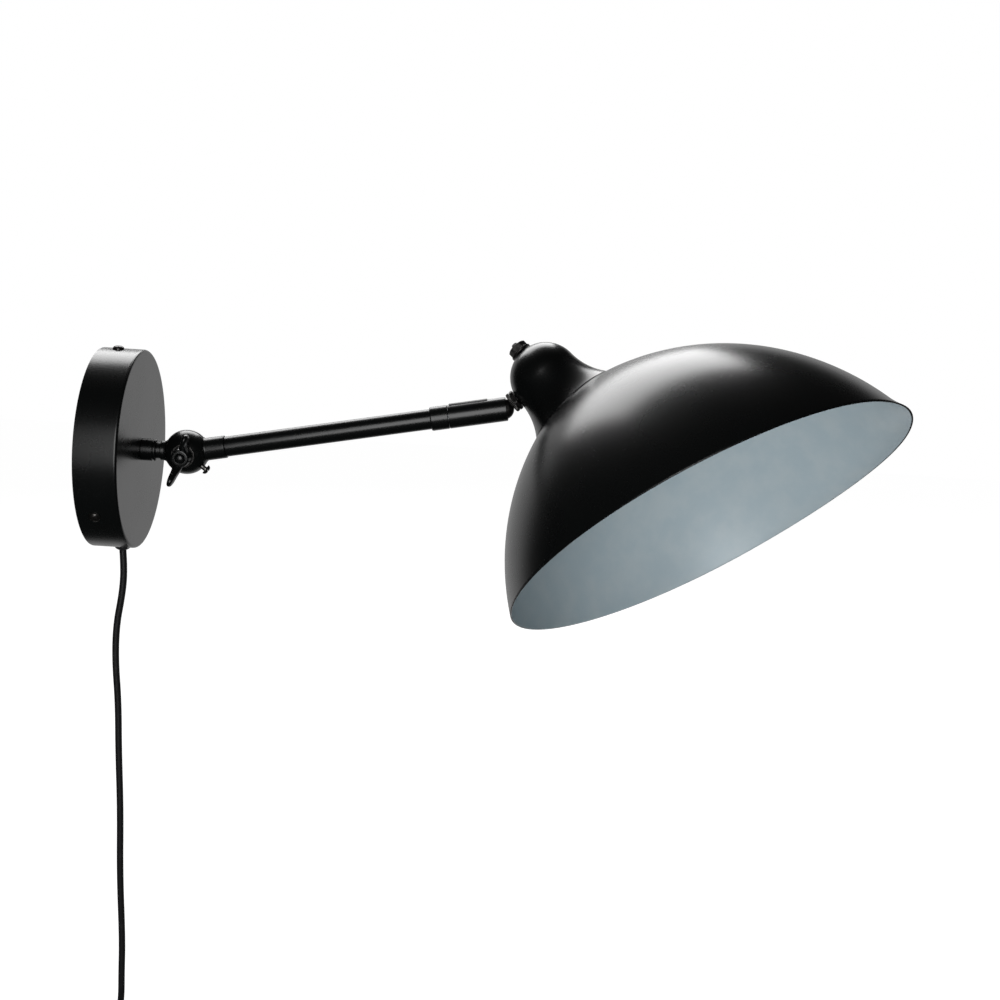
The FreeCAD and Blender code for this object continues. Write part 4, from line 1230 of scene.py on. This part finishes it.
@dataclass
class Hinge(Maker):
    """The stem's collar, the two half balls, the bolt and washer, the wing nut and a set screw."""

    radius: float = 13.4
    flat: float = 11.6
    gap: float = 0.15
    clearance: float = 0.3
    bolt: float = 2.95
    wing_turn: float = 72.0

    def build(self) -> None:
        """Make the hinge's pieces and dress the hidden ones."""
        self.dress(self.finishes.zinc, "stem_washer", "stem_nut")
        self.dress(self.finishes.black, "stem_pipe")
        self.collar()
        self.half("hinge_half_wall", 6.0, -15.4, 1, Place(HINGE, np.eye(3)), "stem",
                  "hinge_wall_half")
        self.half("hinge_half_arm", 6.85, 24.0, -1, Place(HINGE, turn(Axis.Y, -ARM_SLOPE)), "arm",
                  "hinge_arm_half")
        self.bolt_and_washer()
        self.wing_nut()
        self.set_screw()

    def collar(self) -> None:
        """The stem's collar with its groove and its bevelled end."""
        profile = rounded([(5.05, 25.1, 0), (6.7, 25.1, 0.15), (6.7, 31.5, 0.15), (6.2, 31.9, 0.1),
                           (6.2, 32.3, 0.1), (6.7, 32.7, 0.15), (6.7, 33.5, 0.25),
                           (6.1, 34.1, 0.25), (5.05, 34.1, 0)], 4)
        self.piece("stem_sleeve", lathe(profile, 96).at(WALL), "stem", "black_paint",
                   ["stem_collar"])

    def half(self, name: str, neck: float, reach: float, side: int, place: Place, body: str,
             node: str) -> None:
        """One half of the hinge ball with its neck.

        Formula: the half is turned about Y: out from the bolt's hole near the parting plane, round
        the ball to the flat, and in to the hole again. The neck is turned about X from the ball's
        clearance to its end, with a small fillet at its root, and a block of it runs into the half.

        Args:
            name: the piece's name.
            neck: the neck's radius.
            reach: where the neck ends along X.
            side: 1 for the half away from the wing nut, -1 for the other.
            place: the half's place.
            body: the body it rides on.
            node: the CAD node it stands for.
        """
        hole = self.bolt + 0.1
        rim = math.degrees(math.asin((self.gap + 0.3) / self.radius))
        top = math.degrees(math.asin((self.flat - 0.12) / self.radius))
        ball = arc((0, 0), self.radius, rim, top, 60)
        across = math.sqrt(self.radius ** 2 - self.flat ** 2)
        profile = np.concatenate([
            [[hole, self.gap], [self.radius - 0.45, self.gap]],
            arc((self.radius - 0.36, self.gap + 0.32), 0.32, -90, 0, 5)[1:-1], ball,
            [[across - 0.12, self.flat - 0.01], [across - 0.4, self.flat], [hole, self.flat]]])
        profile[:, 1] *= side
        outwards = Place(np.zeros(3), turn(Axis.X, -90))
        shell = lathe(profile, 128).at(outwards)
        way = math.copysign(1, reach)
        near, root = self.radius + self.clearance, neck + 0.55
        start = math.sqrt(near ** 2 - root ** 2)
        cap = np.linspace(0, root, 12)
        bowl = np.stack([cap, np.sqrt(near ** 2 - cap ** 2)], 1)
        fillet = np.stack([neck + 0.55 * (1 - np.sin(np.linspace(0, math.pi / 2, 7))),
                           start + 0.05 + 0.9 * (1 - np.cos(np.linspace(0, math.pi / 2, 7)))], 1)
        end = abs(reach)
        tail = rounded([(neck, start + 1.3, 0), (neck, end, 0.45), (0, end, 0)], 5, closed=False)
        stub_profile = np.concatenate([bowl, fillet, tail])
        stub_profile[:, 1] *= way
        stub = lathe(stub_profile, 96, closed=False).at(Place(np.zeros(3), turn(Axis.Y, 90)))
        t = np.linspace(0, math.pi, 33)
        ring = np.stack([np.cos(t), np.sin(t)], 1) * (neck - 0.05)
        section = np.concatenate([ring, [[-(neck - 0.05), 0.0]], [[neck - 0.05, 0.0]]])
        flat_y = np.maximum(section[:, 1], self.gap + 0.05) * side
        along = np.array([6.0, 6.0, start + 1.4, start + 1.4]) * way
        scale = np.array([0.0, 1.0, 1.0, 0.0])
        middle = np.array([0.0, side * (neck * 0.45), 0.0])
        block = np.stack([np.broadcast_to(along[:, None], (4, len(section))),
                          middle[1] + scale[:, None] * (flat_y[None] - middle[1]),
                          scale[:, None] * section[None, :, 0]], -1)
        joint = Surface.grid(block, columns=True)
        self.piece(name, (shell + stub + joint).at(place), body, "black_paint", [node])

    def bolt_and_washer(self) -> None:
        """The through bolt with its hexagon head, and the washer under the wing nut."""
        head = hexagon(5.6, 0.6, -self.flat - 3.65, -self.flat - 0.06)
        plug = lathe(rounded([(0, -self.flat - 3.3, 0), (1.0, -self.flat - 3.3, 0),
                              (1.0, -self.flat - 0.4, 0),
                              (0, -self.flat - 0.4, 0)], 3, closed=False), 24, closed=False)
        shank = lathe(rounded([(0, -self.flat - 0.6, 0), (self.bolt, -self.flat - 0.6, 0),
                               (self.bolt, 12.4, 0.1), (0, 12.4, 0)], 3, closed=False), 48,
                      closed=False)
        thread = threaded(self.bolt - 0.02, 12.3, 20.6, 1.0, 0.42, 0.3)
        tip = np.concatenate([[[0, 19.5], [self.bolt - 0.05, 19.5]], [[self.bolt - 0.05, 20.9]],
                              arc((0, 20.9), self.bolt - 0.05, 0, 90, 14)[1:] * [1, 0.5]
                              + [0, 10.45]])
        end = lathe(tip, 48, closed=False)
        self.piece("hinge_through_bolt", (head + plug + shank + thread + end).at(BOLT), "stem",
                   "blackened_steel", ["hinge_bolt"], finishes=[self.finishes.black], bevel=0.08)
        ring = rounded([(3.1, self.flat + 0.02, 0.1), (7.0, self.flat + 0.02, 0.3),
                        (7.0, self.flat + 1.0, 0.3), (3.1, self.flat + 1.0, 0.1)], 5)
        self.piece("wing_washer", lathe(ring, 96).at(BOLT), "arm", "blackened_steel",
                   ["hinge_washer"])

    def wing_nut(self) -> None:
        """The wing nut: a coned hub and two paddles that lean outwards.

        Formula: the hub is a rounded cone turned about the bolt. A paddle's spine is a smooth curve
        from inside the hub up and out to its tip, and its oval section swells to the paddle and
        closes in a quarter ellipse at the tip.
        """
        hub = lathe(rounded([(3.0, 0.0, 0.2), (6.2, 0.0, 0.5), (6.15, 1.2, 0.6), (5.2, 8.0, 2.1),
                             (3.0, 8.0, 0.2)], 8), 96)
        t = np.linspace(0, 1, 44)
        knots = np.array([0.0, 0.22, 0.48, 0.74, 1.0])
        spine = np.stack([np.interp(t, knots, [3.6, 6.4, 9.7, 12.5, 14.75]), np.zeros_like(t),
                          np.interp(t, knots, [4.1, 4.6, 7.7, 11.7, 16.9])], 1)
        kernel = np.ones(9) / 9
        padded = np.concatenate([np.repeat(spine[:1], 4, 0), spine, np.repeat(spine[-1:], 4, 0)])
        spine = np.stack([np.convolve(padded[:, k], kernel, "valid") for k in range(3)], 1)
        spine[-1] = [14.75, 0, 16.9]
        close = np.sqrt(np.clip(1 - np.clip((t - 0.70) / 0.30, 0, 1) ** 2, 0, 1))
        across = np.interp(t, knots, [2.8, 3.1, 3.5, 3.9, 3.9]) * close
        thick = np.interp(t, knots, [3.0, 2.8, 2.3, 2.1, 1.9]) * close ** 0.8
        across[[0, -1]] = thick[[0, -1]] = 0.0
        paddle = swept_oval(spine, across, thick, np.array([0.0, 1.0, 0.0]))
        nut = hub + paddle + paddle.at(Place(np.zeros(3), turn(Axis.Z, 180)))
        place = BOLT.inner((0, 0, self.flat + 1.15), turn(Axis.Z, self.wing_turn))
        self.piece("butterfly_nut", nut.at(place), "wing", "black_paint", ["wing_nut"])

    def set_screw(self) -> None:
        """The small slotted screw in the arm's half."""
        place = Place(HINGE + [0.0, -4.5, 0.0], turn(Axis.Y, 126) @ turn(Axis.Z, 62))
        screw = slotted_head(3.0, 15.1, 2.2, 0.7, 0.9, 1.45, 9.0)
        self.piece("hinge_pan_screw", screw.at(place), "arm", "blackened_steel",
                   ["hinge_set_screw"])


# ------------------------------------------------------------------ arm and sleeve

@dataclass
class Arm(Maker):
    """The arm's tube, its end ring, the turning sleeve with its strip, and the ball stud."""

    tube: float = 6.1
    ring: float = 7.2
    sleeve_end: float = 195.5

    def build(self) -> None:
        """Make the arm's pieces."""
        self.dress(self.finishes.zinc, "arm_spigot")
        tube = rounded([(5.1, 24.02, 0.1), (self.tube, 24.02, 0.4), (self.tube, 152.0, 0.1),
                        (5.1, 152.0, 0.1)], 5)
        self.piece("arm_pipe", lathe(tube, 96).at(ARM), "arm", "black_paint", ["arm_tube"])
        band = rounded([(6.15, 149.3, 0.1), (6.75, 149.3, 0.2), (self.ring, 149.9, 0.35),
                        (self.ring, 160.0, 0.35),
                        (4.95, 160.0, 0), (4.95, 152.05, 0), (6.15, 152.05, 0)], 5)
        self.piece("arm_band", lathe(band, 96).at(ARM), "arm", "black_paint", ["arm_ring"])
        self.sleeve()
        self.strip()
        self.stud()

    def sleeve(self) -> None:
        """The sleeve: a plain barrel with a rolled end round the ball's socket."""
        start, end = 160.3, self.sleeve_end
        mouth = math.sqrt(6.35 ** 2 - 1.8 ** 2)
        seat = math.sqrt(6.35 ** 2 - 3.6 ** 2)
        outside = rounded([(4.95, start, 0), (self.ring, start, 0.3), (self.ring, end, 0.95),
                           (mouth, end, 0.15)],
                          8, closed=False)
        low, high = math.degrees(math.asin(-3.6 / 6.35)), math.degrees(math.asin(1.8 / 6.35))
        socket = arc((0, PIVOT_ALONG), 6.35, high, low, 12)
        inside = np.array([[seat, 187.2], [4.95, 185.7]])
        self.piece("turning_sleeve", lathe(np.concatenate([outside, socket, inside]), 96).at(ARM),
                   "sleeve", "black_paint", ["swivel_sleeve"])

    def strip(self) -> None:
        """The thin raised strip along the sleeve's top, with its ends rounded."""
        block = rounded_block((-self.ring - 0.42, -1.7, 161.2), (-self.ring + 0.45, 1.7, 184.6),
                              0.3)
        self.piece("sleeve_rib", block.at(ARM), "sleeve", "black_paint", ["sleeve_strip"])

    def stud(self) -> None:
        """The ball, its neck and its knurled flange, the threaded shank and the two nuts.

        Formula: the flange's radius at an angle is its own less a knurl that rises and falls 40
        times round, strongest half way along it.
        """
        ball, neck = 6.2, 3.0
        low = math.degrees(math.asin(-math.sqrt(ball ** 2 - 1.8 ** 2) / ball))
        high = math.degrees(math.asin(math.sqrt(ball ** 2 - neck ** 2) / ball))
        profile = np.concatenate([[[0, -5.93]], arc((0, 0), ball, low, high - 2, 40),
                                  arc((neck + 0.55, 5.75), 0.55, 200, 160, 5)[:3], [[0, 5.9]]])
        body = lathe(profile, 96, closed=False)
        t = round_turn(400)
        z = np.array([5.7, 5.7, 5.75, 6.05, 6.3, 6.9, 7.4, 7.65, 7.95, 8.0, 8.0])
        reach = np.array([0.0, 5.5, 5.75, 6.1, 6.2, 6.2, 6.2, 6.1, 5.75, 5.5, 0.0])
        cut = np.array([0.0, 0.0, 0.1, 0.7, 1.0, 1.0, 1.0, 0.7, 0.1, 0.0, 0.0]) * 0.30
        across = reach[:, None] - cut[:, None] * np.abs(np.sin(20 * t))[None]
        flange = Surface.grid(turned(across, z[:, None], t), columns=True)
        shank = threaded(3.98, 7.9, 15.75, 0.9, 0.3, 0.4)
        self.piece("knurled_ball_stud", (body + flange + shank).at(PIVOT), "ball_stud",
                   "blackened_steel", ["ball_stud"])
        corners, bore = 6.93, 4.05
        inner = SHADE_ALONG - math.sqrt(19.7 ** 2 - corners ** 2)
        outer_nut = hexagon(corners, bore, 8.02, 10.37)
        inner_nut = hexagon(corners, bore, inner + 0.3, inner + 2.2)
        self.piece("stud_nut_outside", outer_nut.at(PIVOT), "ball_stud", "blackened_steel",
                   ["stud_outer_nut"], bevel=0.12)
        self.piece("stud_nut_inside", inner_nut.at(PIVOT), "ball_stud", "blackened_steel",
                   ["stud_inner_nut"], bevel=0.12)


# ------------------------------------------------------------------ shade

@dataclass
class Shade(Maker):
    """The spun dome with its slanted mouth, the cup over it, the top's nut and the lamp holder."""

    wall: float = 1.0
    slope: float = 17.76
    crown: tuple[float, float] = (152.7, 44.44)
    side: tuple[float, float] = (159.4, 19.36)
    lip: tuple[float, float] = (31.1, 60.0)
    shoulder: tuple[float, float] = (26.26, 24.06)
    cut_slant: float = 17.0
    cut_height: float = 126.0
    around: int = 224
    down: int = 120

    def build(self) -> None:
        """Make the shade's pieces."""
        self.dome()
        self.cup()
        self.top()
        self.holder()

    def skin(self, inset: float) -> Array:
        """Half a section of the dome from its shoulder to past the cut.

        Formula: an arc of heading h moves across by its radius times the sine's change and along by
        its radius times the cosine's change; the lip turns the other way. An inset skin has each
        radius less the inset on the outward arcs and more on the lip.

        Args:
            inset: how far inside the outer skin it lies.

        Returns:
            (across, along) points.
        """
        h0 = math.radians(self.slope)
        h1 = h0 + math.radians(self.crown[1])
        h2 = h1 + math.radians(self.side[1])
        h3 = h2 - math.radians(self.lip[1])
        start = np.array([self.shoulder[0] - inset * math.sin(h0),
                          self.shoulder[1] + inset * math.cos(h0)])

        def stretch(at: Array, radius: float, first: float, last: float, steps: int) -> Array:
            """Points of one arc from at, between two headings."""
            h = np.linspace(first, last, steps)
            way = math.copysign(1.0, last - first) * radius
            return at + np.stack([way * (np.sin(h) - math.sin(first)),
                                  way * (math.cos(first) - np.cos(h))], 1)

        a = stretch(start, self.crown[0] - inset, h0, h1, 240)
        b = stretch(a[-1], self.side[0] - inset, h1, h2, 120)
        c = stretch(b[-1], self.lip[0] + inset, h2, h3, 160)
        return np.concatenate([a, b[1:], c[1:]])

    def trimmed(self, skin: Array, gap: float) -> Array:
        """A skin turned about the axis and cut by the mouth's plane, as a grid.

        Formula: at angle t a profile point (r, z) lies under the plane where z + r cos t tan(slant)
        is less than the cut's height. The length at which it first passes is found between the two
        profile points around it, and the grid's rows share out that length evenly.

        Args:
            skin: the profile.
            gap: how far short of the plane the skin stops.

        Returns:
            The grid, rows by columns by 3.
        """
        t = round_turn(self.around)
        slant = math.tan(math.radians(self.cut_slant))
        over = skin[:, 1:2] + skin[:, :1] * np.cos(t) * slant - (self.cut_height - gap)
        first = np.argmax(over > 0, axis=0)
        column = np.arange(self.around)
        before, after = over[first - 1, column], over[first, column]
        length = np.concatenate([[0], np.cumsum(np.linalg.norm(np.diff(skin, axis=0), axis=1))])
        end = length[first - 1] + (length[first] - length[first - 1]) * (-before) / (after - before)
        share = np.linspace(0, 1, self.down)[:, None] * end
        across, along = np.interp(share, length, skin[:, 0]), np.interp(share, length, skin[:, 1])
        return turned(across, along, t)

    def dome(self) -> None:
        """The dome: outer skin, rounded rim and pale inner skin, joined at its seat.

        Formula: the rim's rows go from the outer skin's end to the inner one's, bulging towards the
        mouth's plane as a half ellipse.
        """
        outer, inner = self.trimmed(self.skin(0.0), 0.32), self.trimmed(self.skin(self.wall), 0.32)
        slant = math.radians(self.cut_slant)
        plane = np.array([math.sin(slant), 0, math.cos(slant)])
        w = np.linspace(0, 1, 9)[1:-1, None, None]
        rim = outer[-1] + w * (inner[-1] - outer[-1]) + plane * 0.32 * np.sqrt(1 - (2 * w - 1) ** 2)
        t = round_turn(self.around)

        def seat(rows: Sequence[tuple[float, float]]) -> Array:
            """Rings of the flat seat."""
            table = np.array(rows)
            return turned(table[:, :1], table[:, 1:2], t)

        top = seat([(14.3, 22.0), (17.0, 22.0), (19.6, 22.0), (20.0, 22.05), (20.5, 22.2),
                    (23.5, 23.2), (25.6, 23.84)])
        under = seat([(25.3, 24.9), (23.2, 24.25), (20.4, 23.2), (20.0, 23.04), (19.6, 23.0),
                      (17.0, 23.0), (14.3, 23.0)])
        rows = np.concatenate([top, outer, rim, inner[::-1], under])
        marks = np.concatenate([np.linspace(-8, 0, len(top)), np.linspace(0, 190, self.down),
                                np.full(len(w), 191.0), np.linspace(190, 0, self.down),
                                np.linspace(0, -8, len(under))])
        surface = Surface.grid(rows, rows=True, columns=True, marks=marks)
        face_row = np.repeat(np.arange(len(rows)), self.around)
        inside = (face_row >= len(top) + self.down + len(w) - 2) & (face_row < len(rows) - 1)
        self.piece("spun_dome", surface.painted(inside, 1).at(SHADE), "shade", "black_paint",
                   ["shade_dome"], finishes=[self.finishes.black, self.finishes.enamel], sharp=60)

    def cup(self) -> None:
        """The cup: half a ball that flares out to a rolled foot on the dome.

        Formula: an arc of 21.2 mm from the top's hole to the ball's widest, then an arc of 40 mm
        that flares out to the foot; the inner skin follows 1.5 mm inside.
        """
        ball, flare, wall, foot = 21.2, 40.0, 1.5, 29.9
        top = math.degrees(math.asin(-math.sqrt(ball ** 2 - 2.1 ** 2) / ball))
        centre = (ball + flare, 0.0)
        foot_turn = math.degrees(math.acos((centre[0] - foot) / flare))
        outside = np.concatenate([arc((0, 0), ball, top, 0, 60),
                                  arc(centre, flare, 180, 180 - foot_turn, 60)[1:]])
        end = outside[-1]
        roll = np.array([[end[0] + 0.02, end[1] + 0.12], [end[0] - 0.05, end[1] + 0.28],
                         [end[0] - 0.3, end[1] + 0.34], [27.8, end[1] - 0.25]])
        inner_flare, inner_ball = flare + wall, ball - wall
        inner_turn = math.degrees(math.acos((centre[0] - 27.65) / inner_flare))
        inner_top = math.degrees(math.asin(-math.sqrt(inner_ball ** 2 - 2.1 ** 2) / inner_ball))
        inside = np.concatenate([arc(centre, inner_flare, 180 - inner_turn, 180, 40),
                                 arc((0, 0), inner_ball, 0, inner_top, 40)[1:]])
        profile = np.concatenate([outside, roll, inside])
        self.piece("holder_cup", lathe(profile, 192).at(SHADE), "shade", "black_paint",
                   ["shade_cup"], sharp=50)

    def top(self) -> None:
        """The washer, the hexagon nut and the threaded stud on the cup's top."""
        washer = rounded([(2.2, -22.4, 0.1), (6.7, -22.4, 0.3), (6.7, -21.2, 0.3),
                          (2.2, -21.2, 0.1)], 5)
        self.piece("top_washer", lathe(washer, 96).at(SHADE), "shade", "blackened_steel",
                   ["apex_washer"])
        self.piece("top_nut", hexagon(6.1, 2.05, -26.4, -22.42).at(SHADE), "shade",
                   "blackened_steel", ["apex_nut"], bevel=0.12)
        self.piece("top_stud", threaded(1.97, -28.4, -12.05, 0.7, 0.26, 0.4).at(SHADE), "shade",
                   "blackened_steel", ["apex_stud"])

    def holder(self) -> None:
        """The lamp holder: cap, barrel, ribbed clamp ring, threaded shell and sprung contact.

        Formula: the ring's radius has 36 grip ribs round it; the shell's bore follows a round
        thread, its radius a cosine of the height over the pitch less the angle over a turn.
        """
        self.dress(self.finishes.black_plastic, "holder_cap")
        barrel = rounded([(0, 8.0, 0), (13.4, 8.0, 0.3), (13.4, 17.0, 0.5), (17.0, 18.5, 0.5),
                          (17.0, 21.98, 0.3),
                          (13.9, 21.98, 0.1), (13.9, 45.9, 0.9), (10.5, 45.9, 0.4),
                          (10.5, 42.0, 0.3),
                          (8.6, 42.0, 0.3), (8.6, 23.0, 0.2), (0, 23.0, 0)], 5, closed=False)
        self.piece("holder_body", lathe(barrel, 128, closed=False).at(SHADE), "shade",
                   "black_plastic", ["holder_barrel"])
        t = round_turn(432)
        z = np.array([23.03, 23.03, 23.2, 23.6, 24.2, 27.9, 28.5, 28.9, 29.0, 29.0, 28.6, 23.4])
        r = np.array([14.1, 17.9, 18.35, 18.6, 18.6, 18.6, 18.3, 17.8, 17.4, 14.5, 14.05, 14.0])
        cut = np.array([0, 0, 0.2, 0.8, 1.0, 1.0, 0.7, 0.2, 0, 0, 0, 0]) * 0.55
        across = r[:, None] - cut[:, None] * np.clip(1.5 * np.cos(36 * t) - 0.2, 0, 1)[None]
        ring = Surface.grid(turned(across, z[:, None], t), rows=True, columns=True)
        self.piece("holder_clamp_ring", ring.at(SHADE), "shade", "black_plastic", ["holder_ring"])
        t = round_turn(72)[None]
        z = np.linspace(25.2, 42.4, 90)[:, None]
        fade = np.clip(np.minimum(z - 25.2, 42.4 - z) / 1.2, 0, 1)
        wave = 0.30 * np.cos(2 * math.pi * z / 2.82 - t) * fade
        bore, back = 7.28 + wave, 7.62 + wave
        tube = [turned(v, z, t) for v in (bore, back)]
        flare = np.array([[8.45, 42.15], [8.5, 42.5], [7.3, 42.6]])
        lip = turned(flare[:, :1], flare[:, 1:2], t)
        shell = Surface.grid(np.concatenate([tube[0][::-1], tube[1], lip]), rows=True, columns=True)
        self.piece("holder_screw_shell", shell.at(SHADE), "shade", "nickel_brass", ["holder_shell"])
        self.dress(self.finishes.brass, "holder_contact")


# ------------------------------------------------------------------ the lamp

def main() -> None:
    """Build the studio and the lamp's sub-assemblies, in order."""
    logging.basicConfig(level=logging.INFO, format="%(name)s %(message)s")
    Studio().build()
    finishes = Finishes.make()
    for kind in (Lead, Canopy, Hinge, Arm, Shade):
        kind(finishes).build()
        log.info("built %s", kind.__name__)
    bpy.context.view_layer.update()


if __name__ == "__main__":
    main()
